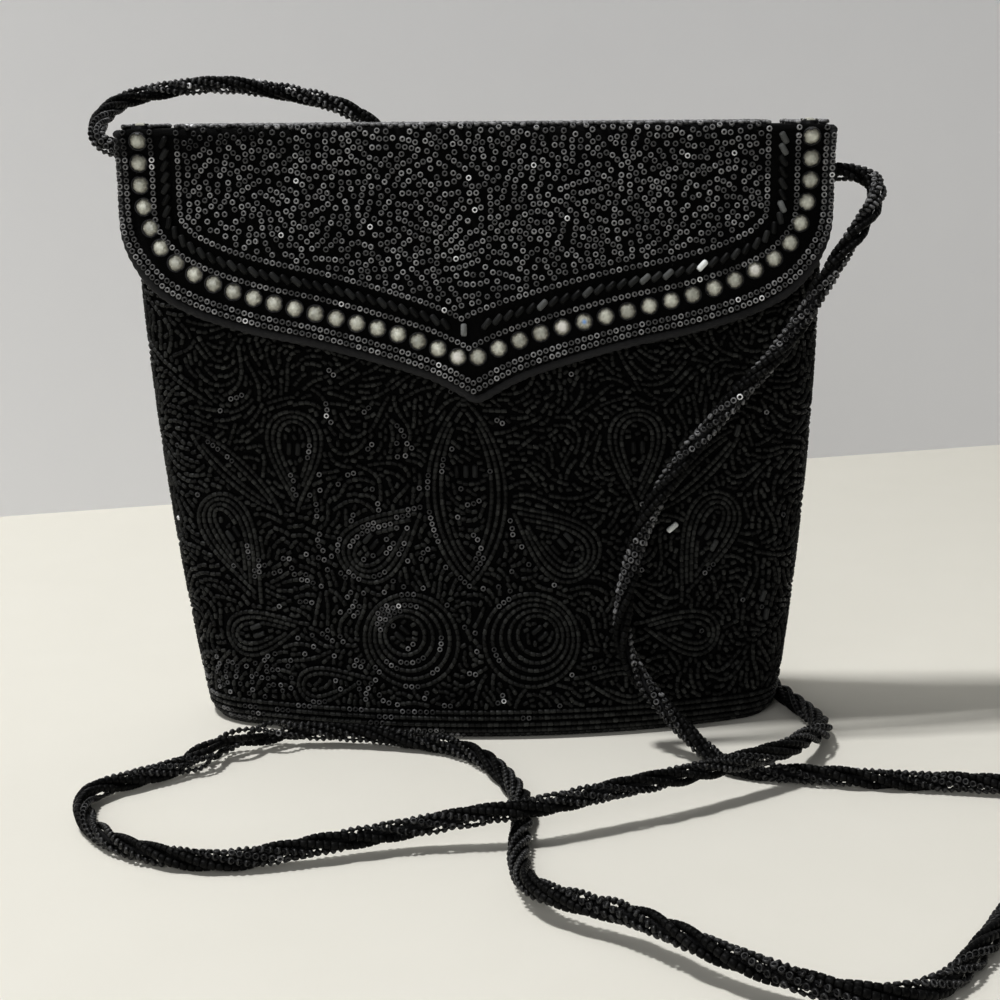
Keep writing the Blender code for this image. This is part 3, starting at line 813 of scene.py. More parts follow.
def tube_grid(path: Array, radius: Callable[[Array, Array], Array], sides: int) -> BMesh:
    """Sweeps a closed tube along a path.

    Args:
        path: The points that the tube follows.
        radius: The radius for an angle round the tube and a length along it.
        sides: Faces round the tube.

    Returns:
        The tube, capped, with a thread map in metres.
    """
    side, up = transported_frame(tangents(path), Vector((0.31, 0.11, 0.94)))
    runs = run_lengths(path)

    def place(u: Array, v: Array) -> Array:
        """Returns the tube's points for shares round and along it."""
        ring = np.rint(v * (len(path) - 1)).astype(int)
        angle = u * tau
        reach = radius(angle, runs[ring])[:, None]
        out = side[ring] * np.cos(angle)[:, None] + up[ring] * np.sin(angle)[:, None]
        return path[ring] + out * reach

    mean = float(np.mean(radius(np.linspace(0, tau, 16), np.full(16, runs[-1] / 2))))
    bm = placed_grid(sides, len(path) - 1, place, (tau * mean, runs[-1]))
    bmesh.ops.remove_doubles(bm, verts=bm.verts, dist=SAME_PLACE)
    bmesh.ops.holes_fill(bm, edges=[edge for edge in bm.edges if edge.is_boundary])
    bmesh.ops.recalc_face_normals(bm, faces=bm.faces)
    return bm


def transported_frame(forward: Array, spare: Vector) -> tuple[Array, Array]:
    """Carries a frame along a curve without twist.

    Args:
        forward: The curve's directions.
        spare: A direction to start from.

    Returns:
        Two directions square to the curve at each point.
    """
    side = np.empty_like(forward)
    start = np.cross(forward[0], np.array(spare))
    side[0] = start / np.linalg.norm(start)
    for i in range(1, len(forward)):
        moved = side[i - 1] - forward[i] * np.dot(side[i - 1], forward[i])
        side[i] = moved / np.linalg.norm(moved)
    return side, np.cross(forward, side)


# Beads


class BeadForm(Enum):
    """The forms of bead on the bag."""

    RING = "ring bead"
    BARREL = "barrel bead"
    BUGLE = "bugle bead"


@dataclass(frozen=True)
class BeadSize:
    """A bead's diameter and length, and the steps round it."""

    diameter: float
    length: float
    segments: int


def spun(profile: Sequence[tuple], segments: int, closed: bool, tone_name: str = "") -> BMesh:
    """Turns a bead, a stone or a cup about its own Z axis.

    Args:
        profile: Radius and height of each profile point, and its tone if the form has tones.
        segments: Steps round the axis.
        closed: Whether the profile closes on itself, as a ring's does.
        tone_name: The attribute that keeps the tones.

    Returns:
        The turned form, capped where it is open, with its tones.
    """
    bm = bmesh.new()
    tones = bm.verts.layers.float.new(tone_name) if tone_name else None
    verts = []
    for radius, height, *tone in profile:
        vert = bm.verts.new((radius, 0, height))
        if tone:
            vert[tones] = tone[0]
        verts.append(vert)
    edges = [bm.edges.new(pair) for pair in zip(verts, verts[1:])]
    if closed:
        edges.append(bm.edges.new((verts[-1], verts[0])))
    bmesh.ops.spin(bm, geom=verts + edges, cent=(0, 0, 0), axis=(0, 0, 1), angle=tau,
                   steps=segments, use_merge=True, use_duplicate=False)
    bmesh.ops.remove_doubles(bm, verts=bm.verts, dist=SAME_PLACE)
    bmesh.ops.holes_fill(bm, edges=[edge for edge in bm.edges if edge.is_boundary])
    bmesh.ops.recalc_face_normals(bm, faces=bm.faces)
    return bm


def ring_bead(size: BeadSize) -> BMesh:
    """A short bead that shows its hole: its axis is Z, and its crest carries a painted highlight."""
    thick = size.diameter * 0.13
    middle = size.diameter / 2 - thick
    half = size.length / 2
    # The tones paint the highlight: full on the crest, less beside it, none under it.
    profile = [(middle + thick * cos(radians(angle)), half * sin(radians(angle)), tone)
               for angle, tone in ((90, 1.0), (28, 0.9), (-45, 0.0), (-135, 0.0), (152, 0.7))]
    return spun(profile, size.segments, True, "rim")


def barrel_bead(size: BeadSize) -> BMesh:
    """A bead strung along its axis, which is Z."""
    radius, half = size.diameter / 2, size.length / 2
    # The tones paint shade on the bead's ends, at half the strength of its middle.
    profile = [(0.78 * radius, half, 0.5), (radius, 0.68 * half, 1.0),
               (radius, -0.68 * half, 1.0), (0.78 * radius, -half, 0.5)]
    return spun(profile, size.segments, False, "rim")


def bugle_bead(size: BeadSize) -> BMesh:
    """A long glass tube with its axis along Z."""
    radius, half = size.diameter / 2, size.length / 2
    # The tones paint shade towards the tube's ends.
    upper = [(0.45 * radius, half, 0.3), (0.82 * radius, 0.90 * half, 0.8), (radius, 0.68 * half, 1.0)]
    profile = upper + [(reach, -height, tone) for reach, height, tone in reversed(upper)]
    return spun(profile, size.segments, False, "rim")


BEAD_MAKERS = {BeadForm.RING: ring_bead, BeadForm.BARREL: barrel_bead, BeadForm.BUGLE: bugle_bead}


@dataclass
class BeadTray:
    """Beads of one form and size, gathered in their places and then sewn into one mesh."""

    form: BeadForm
    size: BeadSize
    places: list = field(default_factory=list)
    axes: list = field(default_factory=list)
    sides: list = field(default_factory=list)
    glints: list = field(default_factory=list)

    def add(self, places: Array, axes: Array, sides: Array, glints: Array) -> None:
        """Puts beads on the tray.

        Args:
            places: Their middles.
            axes: The directions of their bores.
            sides: Directions across their bores.
            glints: How brightly each shows, from 0 to 1.
        """
        self.places.append(places)
        self.axes.append(axes)
        self.sides.append(sides)
        self.glints.append(glints)

    def mesh(self, name: str) -> Mesh:
        """Makes one mesh of all the beads.

        Args:
            name: The mesh's name.

        Returns:
            The mesh, with each bead's glint, and a map with a cell to each bead.
        """
        bead = mesh_from(BEAD_MAKERS[self.form](self.size), f"{name}_bead")
        axes = unit(np.concatenate(self.axes))
        sides = np.concatenate(self.sides)
        sides = unit(sides - axes * np.sum(sides * axes, axis=1, keepdims=True))
        turned = np.stack((sides, np.cross(axes, sides), axes), axis=2)
        mesh = copies_of(bead, turned, np.concatenate(self.places))
        glint = mesh.attributes.new("glint", "FLOAT", "POINT")
        values = np.repeat(np.concatenate(self.glints), len(bead.vertices))
        glint.data.foreach_set("value", values.astype(np.float32))
        self.map_cells(mesh, bead, len(axes))
        return mesh

    def map_cells(self, mesh: Mesh, bead: Mesh, count: int) -> None:
        """Gives each bead a cell of the map, and each of its faces a part of that cell.

        Args:
            mesh: The mesh of all the beads.
            bead: The mesh of one bead.
            count: How many beads there are.
        """
        faces = len(bead.polygons)
        part = ceil(sqrt(faces))
        corners = np.empty((len(bead.loops), 2))
        for face in bead.polygons:
            column, row = face.index % part, face.index // part
            for i, loop in enumerate(face.loop_indices):
                angle = tau * (i + 0.5) / face.loop_total
                corners[loop] = (column + 0.5 + 0.45 * cos(angle), row + 0.5 + 0.45 * sin(angle))
        corners /= part
        columns = ceil(sqrt(count))
        cell = np.arange(count)
        origin = np.stack((cell % columns, cell // columns), axis=1)
        places = (origin[:, None, :] + corners[None, :, :]) / columns
        layer = mesh.uv_layers.new(name="OFBake")
        layer.data.foreach_set("uv", places.astype(np.float32).ravel())


def copies_of(model: Mesh, turned: Array, places: Array) -> Mesh:
    """Sets many copies of a bead, a stone or a cup in place, in one mesh.

    Args:
        model: The mesh to copy.
        turned: Each copy's own three axes, as columns.
        places: Where each copy's middle stands.

    Returns:
        The mesh of the copies, in order.
    """
    holder = bpy.data.objects.new("model", model)
    bpy.context.scene.collection.objects.link(holder)
    copies = holder.modifiers.new("Copies", "ARRAY")
    copies.count = len(places)
    copies.use_relative_offset = False
    evaluated = holder.evaluated_get(bpy.context.evaluated_depsgraph_get())
    mesh = bpy.data.meshes.new_from_object(evaluated)
    bpy.data.objects.remove(holder, do_unlink=True)
    shape = np.array([vert.co for vert in model.vertices])
    points = np.einsum("bij,vj->bvi", turned, shape) + places[:, None, :]
    mesh.vertices.foreach_set("co", points.astype(np.float32).ravel())
    mesh.update()
    return mesh


class Spacing:
    """Keeps beads apart on a pattern that is laid out flat."""

    def __init__(self, gap: float) -> None:
        """Takes the least distance between two beads."""
        self.gap = gap
        self.cells: dict[tuple[int, int], list[tuple[float, float]]] = {}

    def cell(self, x: float, y: float) -> tuple[int, int]:
        """Returns the cell of a place."""
        return int(x // self.gap), int(y // self.gap)

    def free(self, x: float, y: float, share: float = 1.0) -> bool:
        """Tells whether a place is clear of beads by a share of the least distance."""
        column, row = self.cell(x, y)
        least = (self.gap * share) ** 2
        for i in (column - 1, column, column + 1):
            for j in (row - 1, row, row + 1):
                for other in self.cells.get((i, j), ()):
                    if (other[0] - x) ** 2 + (other[1] - y) ** 2 < least:
                        return False
        return True

    def take(self, x: float, y: float) -> None:
        """Marks a place as taken."""
        self.cells.setdefault(self.cell(x, y), []).append((x, y))

    def strings(self, seeds: Array, step: float, longest: int, wave: float,
                allowed: Callable[[float, float], bool], dice: random.Random) -> Array:
        """Fills an area with short strings of beads that wander over it, side by side.

        Args:
            seeds: Places to start from.
            step: Distance between the beads of a string.
            longest: The most beads in a string.
            wave: How far apart the strings change their direction.
            allowed: Tells whether a bead may lie at a place.
            dice: The source of chance.

        Returns:
            Place and direction of each bead.
        """
        spread = 0.40
        beads = []
        for x, y in seeds:
            turn = dice.gauss(0, spread)
            for _ in range(dice.randint(2, longest)):
                if not allowed(x, y) or not self.free(x, y):
                    break
                heading = turn + wander(x / wave, y / wave)
                self.take(x, y)
                beads.append((x, y, heading))
                x += step * cos(heading)
                y += step * sin(heading)
        return np.array(beads)

    def row(self, points: Array, share: float) -> Array:
        """Lays a row of beads where it is clear, and gives their places and directions."""
        ways = tangents(points)
        beads = []
        for (x, y), (a, b) in zip(points, ways):
            if self.free(x, y, share):
                self.take(x, y)
                beads.append((x, y, np.arctan2(b, a)))
        return np.array(beads).reshape(-1, 3)


def wander(x: float, y: float) -> float:
    """Returns the direction in which the strings run at a place."""
    return 1.1 * sin(x + 1.7 * sin(0.7 * y)) + 0.9 * sin(0.9 * y - 1.3 * sin(0.55 * x))


def scattered(low: Sequence[float], high: Sequence[float], pitch: float, dice: random.Random) -> Array:
    """Scatters places over a rectangle, in a mixed order.

    Args:
        low: Lowest corner.
        high: Highest corner.
        pitch: Mean distance between places.
        dice: The source of chance.

    Returns:
        The places, one to a row.
    """
    places = []
    for i in range(int((high[0] - low[0]) / pitch) + 1):
        for j in range(int((high[1] - low[1]) / pitch) + 1):
            x = low[0] + (i + dice.random()) * pitch
            y = low[1] + (j + dice.random()) * pitch
            places.append((x, y))
    dice.shuffle(places)
    return np.array(places)


def glints(count: int, seed: int, low: float, high: float, sparks: float) -> Array:
    """Draws how brightly beads show, a painted highlight that differs at random: most dim, some bright, a few
    sparks.

    Args:
        count: How many beads.
        seed: The seed of chance.
        low: The dimmest.
        high: The brightest of the common beads.
        sparks: The share of beads that sparkle.

    Returns:
        A value from 0 to 1 for each bead.
    """
    fall_off = 1.8
    chance = np.random.default_rng(seed)
    value = low + (high - low) * chance.random(count) ** fall_off
    return np.where(chance.random(count) < sparks, 1.0, value)


# Sub-assemblies


@dataclass(frozen=True)
class Lamp:
    """A soft square lamp that looks at the bag."""

    name: str
    place: Point
    size: float
    power: float


@dataclass
class Studio:
    """Camera, lights, floor and backdrop."""

    lens_pixels: float = 1700.0
    image_pixels: float = 1000.0
    sensor: float = 36.0
    pitch: float = radians(13.0)
    roll: float = radians(0.45)
    place: Point = (0.00568, -0.467, 0.1683)
    near: float = 0.01
    aim: Point = (0.0, 0.0, 0.07)
    lamps: tuple[Lamp, ...] = (Lamp("key", (-0.62, -0.08, 1.80), 0.18, 25.0),
                               Lamp("fill", (-0.40, -1.05, 0.50), 0.6, 2.4),
                               Lamp("spark", (0.0, -0.60, 0.34), 0.04, 0.10))
    world_colour: Colour = (0.98, 0.99, 1.0)
    world_strength: float = 0.08
    floor_half: float = 6.0
    backdrop_y: float = 0.30
    backdrop_slope: float = 0.30
    backdrop_height: float = 1.6

    def camera(self) -> None:
        """Sets the camera where the photograph was taken from."""
        data = bpy.data.cameras.new("camera")
        data.sensor_width = self.sensor
        data.lens = self.sensor * self.lens_pixels / self.image_pixels
        data.clip_start = self.near
        camera = bpy.data.objects.new("camera", data)
        look = Matrix.Rotation(pi / 2 - self.pitch, 4, "X") @ Matrix.Rotation(-self.roll, 4, "Z")
        camera.matrix_world = Matrix.Translation(self.place) @ look
        bpy.context.scene.collection.objects.link(camera)
        bpy.context.scene.camera = camera

    def hang(self, lamp: Lamp) -> None:
        """Hangs a lamp."""
        data = bpy.data.lights.new(lamp.name, "AREA")
        data.size = lamp.size
        data.energy = lamp.power
        hung = bpy.data.objects.new(lamp.name, data)
        hung.location = lamp.place
        look = Vector(self.aim) - Vector(lamp.place)
        hung.rotation_euler = look.to_track_quat("-Z", "Y").to_euler()
        bpy.context.scene.collection.objects.link(hung)

    def backdrop(self, shop: Workshop) -> None:
        """Lays the floor, and stands a backdrop on it behind the bag, which shows from its front alone."""
        bm = bmesh.new()
        bmesh.ops.create_grid(bm, x_segments=1, y_segments=1, size=self.floor_half)
        shop.show("floor", mesh_from(bm, "floor"), FLOOR)
        bm = bmesh.new()
        skew = self.backdrop_slope * self.floor_half
        ends = [bm.verts.new((side * self.floor_half, self.backdrop_y + side * skew, 0)) for side in (-1, 1)]
        made = bmesh.ops.extrude_edge_only(bm, edges=[bm.edges.new(ends)])["geom"]
        top = [item for item in made if isinstance(item, BMVert)]
        bmesh.ops.translate(bm, vec=(0, 0, self.backdrop_height), verts=top)
        bm.normal_update()
        face_outwards(bm, lambda point: (0, -1, 0))
        shop.show("backdrop", mesh_from(bm, "backdrop"), BACKDROP)

    def build(self, shop: Workshop) -> None:
        """Builds the studio."""
        scene = bpy.context.scene
        scene.view_settings.view_transform = "Standard"
        self.camera()
        for lamp in self.lamps:
            self.hang(lamp)
        world = bpy.data.worlds.new("studio")
        world.use_nodes = True
        shade = world.node_tree.nodes["Background"]
        shade.inputs["Color"].default_value = (*self.world_colour, 1.0)
        shade.inputs["Strength"].default_value = self.world_strength
        scene.world = world
        self.backdrop(shop)
        LOG.info("studio is set")


@dataclass
class Strap:
    """Shoulder strap: a rope of bead strings, sewn to the bag at both ends."""

    body: BodyShape
    diameter: float = 0.0054
    length: float = 1.3430
    strings: int = 5
    lay: float = 0.040
    bead: BeadSize = BeadSize(0.00195, 0.00172, 6)
    bead_pitch: float = 0.00175
    ring: BeadSize = BeadSize(0.00176, 0.0011, 8)
    ring_pitch: float = 0.00184
    ring_strings: int = 3
    core_radius: float = 0.0009
    floor_reach: float = 0.015
    floor_highlight_share: float = 0.2
    thread_radius: float = 0.0003
    end_diameter: float = 0.0058
    end_length: float = 0.0050
    seam_gap: float = 0.0003
    lead: float = 0.0030
    left: tuple[float, float] = (2.275, 0.1559)
    right: tuple[float, float] = (0.0, 0.1506)
    slack: tuple = ((-0.077, -0.054), (-0.050, -0.033))
    slack_height: float = 0.02
    slack_spread: float = 0.0023
    reach: float = 0.00182
    sway: float = 0.25
    sway_length: float = 0.017
    sway_step: float = 1.3
    floor_gap: float = 0.00005
    wrap_pitch: float = 0.00042
    wrap_depth: float = 0.07
    probe: float = 0.001
    line_step: float = 0.001
    thread_points: int = 700
    seed: int = 40
    ring_tones: tuple = (0.01, 0.22, 0.006)
    bead_tones: tuple = (0.02, 0.6, 0.02)
    route: tuple = (
        (-0.1035, 0.0100, 0.1605), (-0.1007, 0.0400, 0.1718), (-0.0697, 0.0470, 0.1750),
        (-0.0317, 0.0450, 0.1640), (-0.0120, 0.0420, 0.1280), (0.0260, 0.0385, 0.0190),
        (0.0500, 0.0350, 0.0032), (0.0765, 0.0240, 0.0028), (0.0880, -0.0050, 0.0028),
        (0.0922, -0.0350, 0.0045), (0.0852, -0.0480, 0.0075), (0.0763, -0.0621, 0.0093),
        (0.0147, -0.0953, 0.0092), (-0.0202, -0.1010, 0.0055), (-0.0595, -0.1102, 0.0028),
        (-0.0858, -0.0989, 0.0028), (-0.0967, -0.0721, 0.0028), (-0.0766, -0.0538, 0.0035),
        (-0.0663, -0.0410, 0.0045), (-0.0519, -0.0335, 0.0045), (-0.0068, -0.0415, 0.0028),
        (0.0096, -0.0730, 0.0028), (0.0093, -0.1156, 0.0034), (0.0131, -0.1327, 0.0060),
        (0.0310, -0.1465, 0.0070), (0.0513, -0.1658, 0.0070), (0.0713, -0.1750, 0.0045),
        (0.0900, -0.1690, 0.0032), (0.1200, -0.1270, 0.0028), (0.1540, -0.0920, 0.0028),
        (0.1500, -0.0775, 0.0030), (0.0680, -0.0578, 0.0028), (0.0588, -0.0480, 0.0040),
        (0.0395, -0.0350, 0.0259), (0.0384, -0.0335, 0.0413), (0.0485, -0.0310, 0.0705),
        (0.0800, -0.0255, 0.1075), (0.0950, -0.0215, 0.1300), (0.1068, -0.0073, 0.1452),
        (0.1060, -0.0024, 0.1489),
    )

    def end(self, seat: tuple[float, float]) -> tuple[Array, Array]:
        """Returns where a strap end is sewn to the gusset, by turn and height, and its way out."""
        turn, height = seat
        foot = self.body.oval(height, 0.0, turn)
        inner = self.body.oval(height, self.probe, turn)
        return foot, unit(foot - inner)

    def path(self) -> Array:
        """Returns the line that the rope follows, from its left end to its right end."""
        reach = 2 * self.seam_gap + self.end_length
        (left, left_way), (right, right_way) = self.end(self.left), self.end(self.right)
        start, stop = left + left_way * reach, right + right_way * reach
        between = [start + left_way * self.lead, *self.route, stop + right_way * self.lead]
        curve = smooth_curve(between, 12)
        curve[:, 2] = np.maximum(curve[:, 2], self.diameter / 2)
        return even_points(np.vstack((start, curve, stop)), self.line_step)

    def slack_ends(self, path: Array) -> list[int]:
        """Returns where along the rope's line the slack stretch starts and ends."""
        low = path[:, 2] < self.slack_height
        return [int(np.argmin(np.hypot(*(path[:, :2] - place).T) + ~low)) for place in self.slack]

    def string_line(self, path: Array, sides: tuple[Array, Array], number: int) -> Array:
        """Winds one string round the rope's line; where the rope is slack, two bundles part.

        Args:
            path: The rope's line.
            sides: Two directions square to it at each point.
            number: Which string.

        Returns:
            The string's line.
        """
        runs = run_lengths(path)
        ends = self.slack_ends(path)
        share = np.clip((np.arange(len(path)) - ends[0]) / (ends[1] - ends[0]), 0, 1)
        part = self.slack_spread * np.sin(3 * pi * share) * (1 if number % 2 else -1)
        level = unit(np.cross((0, 0, 1), tangents(path)))
        angle = tau * (runs / self.lay + number / self.strings)
        angle = angle + self.sway * np.sin(runs / self.sway_length + self.sway_step * number)
        line = path + (sides[0] * np.cos(angle)[:, None] + sides[1] * np.sin(angle)[:, None]) * self.reach
        line = line + level * part[:, None]
        line[:, 2] = np.maximum(line[:, 2], self.bead.diameter / 2 + self.floor_gap)
        return line

    def build_end(self, shop: Workshop, side: str, seat: tuple[float, float]) -> Object:
        """Builds a thread-wrapped end."""
        foot, way = self.end(seat)
        steps = np.linspace(0, 1, 41)[:, None]
        line = foot + way * (self.seam_gap + self.end_length * steps)

        def radius(angle: Array, run: Array) -> Array:
            """Returns the radius of the domed, wrapped end."""
            share = run / self.end_length
            dome = np.sqrt(np.clip(1 - (2 * share - 1) ** 6, 0.05, 1))
            wrap = 1 - np.abs(np.sin(run / self.wrap_pitch * pi + angle / 2))
            return self.end_diameter / 2 * dome * (1 - self.wrap_depth * wrap)

        mesh = mesh_from(tube_grid(line, radius, 20), f"{side}_strap_wrap")
        return shop.piece(f"{side}_strap_wrap", mesh, WRAP, Slot.THREAD, Body.BAG, [f"{side}_strap_end"])

    def add_thread(self, threads: BMesh, line: Array, radius: float) -> None:
        """Adds a thread along a line to the rope's threads."""
        thread = tube_grid(line, lambda angle, run: np.full_like(angle, radius), 5)
        strand = mesh_from(thread, "strand")
        threads.from_mesh(strand)
        bpy.data.meshes.remove(strand)

    def build(self, shop: Workshop) -> None:
        path = self.path()
        sides = transported_frame(tangents(path), Vector((0.1, 0.2, 0.97)))
        barrels, rings = BeadTray(BeadForm.BARREL, self.bead), BeadTray(BeadForm.RING, self.ring)
        threads = bmesh.new()
        for number in range(self.strings):
            line = self.string_line(path, sides, number)
            if number < self.ring_strings:
                # Ring beads whose crests carry the painted ring highlight.
                places = even_points(line, self.ring_pitch)
                middles = points_at(path, np.linspace(0, run_lengths(path)[-1], len(places)))
                tones = glints(len(places), self.seed + number, *self.ring_tones)
                # Painted highlight: rings that lie on the floor show only a small share of it.
                tones = np.where(places[:, 2] < self.floor_reach, self.floor_highlight_share * tones, tones)
                rings.add(places, places - middles, tangents(places), tones)
            else:
                places = even_points(line, self.bead_pitch)
                ways = tangents(places)
                outward = np.cross(ways, np.roll(ways, 1, axis=1) + 0.1)
                tones = glints(len(places), self.seed + number, *self.bead_tones)
                barrels.add(places, ways, outward, tones)
            runs = np.linspace(0, run_lengths(line)[-1], self.thread_points)
            self.add_thread(threads, points_at(line, runs), self.thread_radius)
        first, last = self.slack_ends(path)
        for stretch in (path[:first], path[last:]):
            self.add_thread(threads, stretch[::2], self.core_radius)
        rope = shop.piece("strap_beads", barrels.mesh("strap_beads"), ROPE_BEAD, Slot.ROPE, Body.BAG,
                          ["shoulder_strap"])
        bright = shop.piece("strap_rings", rings.mesh("strap_rings"), FLAP_BEAD, Slot.ROPE, Body.BAG)
        core = shop.piece("strap_threads", mesh_from(threads, "strap_threads"), WRAP, Slot.THREAD, Body.BAG)
        ends = [self.build_end(shop, "left", self.left), self.build_end(shop, "right", self.right)]


class MotifForm(Enum):
    """The forms of the bead pattern's figures."""

    POINTED_OVAL = "pointed oval"
    PAISLEY = "paisley"
    ROUND = "round"


@dataclass(frozen=True)
class Motif:
    """One figure of the front's bead pattern: rows of beads, each inside the last."""

    form: MotifForm
    x: float
    z: float
    length: float
    width: float
    heading: float
    curl: float = 0.0
    rows: int = 3
    bugles: int = 0
    bugle_gap: float = 0.0024
    head: float = 0.12
    swell: float = 1.28
    taper: float = 0.8
    sharpness: float = 0.7
    drift: float = 0.3

    def outline(self, row: int, pitch: float, mirror: int) -> Array:
        """Returns one closed row of the figure, as x and z.

        Args:
            row: Which row, from the outside.
            pitch: The distance between rows.
            mirror: 1 for the figure, -1 for its mirror image.

        Returns:
            The row's points.
        """
        turn = np.linspace(0, tau, 121)
        length, width = self.length - 2 * row * pitch, self.width - 2 * row * pitch
        along, across = -np.cos(turn) / 2, np.sin(turn) / 2
        if self.form is MotifForm.PAISLEY:
            across = across * self.swell * (along + 0.5) ** self.taper
        if self.form is MotifForm.POINTED_OVAL:
            across = across * np.abs(np.sin(turn)) ** self.sharpness
        bend = self.curl * (0.5 - along) ** 2
        a, b = along * length + row * pitch * self.drift, across * width + bend * self.length
        angle = radians(self.heading)
        x = self.x + a * cos(angle) - b * sin(angle)
        return np.stack((mirror * x, self.z + a * sin(angle) + b * cos(angle)), axis=-1)

    def bugle_places(self, mirror: int) -> Array:
        """Returns place and direction of the bugles in the figure's head."""
        angle = radians(self.heading)
        beads = []
        for i in range(self.bugles):
            side = (i - (self.bugles - 1) / 2) * self.bugle_gap
            x = self.x + self.length * self.head * cos(angle) - side * sin(angle)
            z = self.z + self.length * self.head * sin(angle) + side * cos(angle)
            beads.append((mirror * x, z, angle if mirror > 0 else pi - angle))
        return np.array(beads).reshape(-1, 3)


FIGURES = (
    Motif(MotifForm.POINTED_OVAL, 0.0, 0.0675, 0.0500, 0.0209, 90, rows=3, bugles=3),
    Motif(MotifForm.PAISLEY, 0.0230, 0.0562, 0.0282, 0.0190, -48, curl=-0.12, rows=4, bugles=3),
    Motif(MotifForm.ROUND, 0.0163, 0.0274, 0.0256, 0.0256, 40, rows=5, bugles=2),
    Motif(MotifForm.PAISLEY, 0.0465, 0.0760, 0.0264, 0.0170, 93, curl=0.05, rows=3, bugles=2),
    Motif(MotifForm.PAISLEY, 0.0627, 0.0522, 0.0310, 0.0170, 56, curl=-0.15, rows=4, bugles=2),
    Motif(MotifForm.PAISLEY, 0.0570, 0.0292, 0.0236, 0.0140, -20, curl=-0.10, rows=3, bugles=2),
    Motif(MotifForm.POINTED_OVAL, 0.0632, 0.0729, 0.0330, 0.0068, 42, rows=2),
    Motif(MotifForm.PAISLEY, 0.0390, 0.0160, 0.0200, 0.0110, -25, curl=-0.20, rows=2),
)


@dataclass(frozen=True)
class SparkPatch:
    """A patch of the unrolled wall where some beads stand on end and show the painted highlight on their
    rims.
    """

    x: float
    z: float
    reach: tuple[float, float]
    share: float

    def chance(self, beads: Array) -> Array:
        """Returns each bead's chance to stand on end."""
        away = ((beads[:, 0] - self.x) / self.reach[0]) ** 2 + ((beads[:, 1] - self.z) / self.reach[1]) ** 2
        return self.share * np.exp(-away)


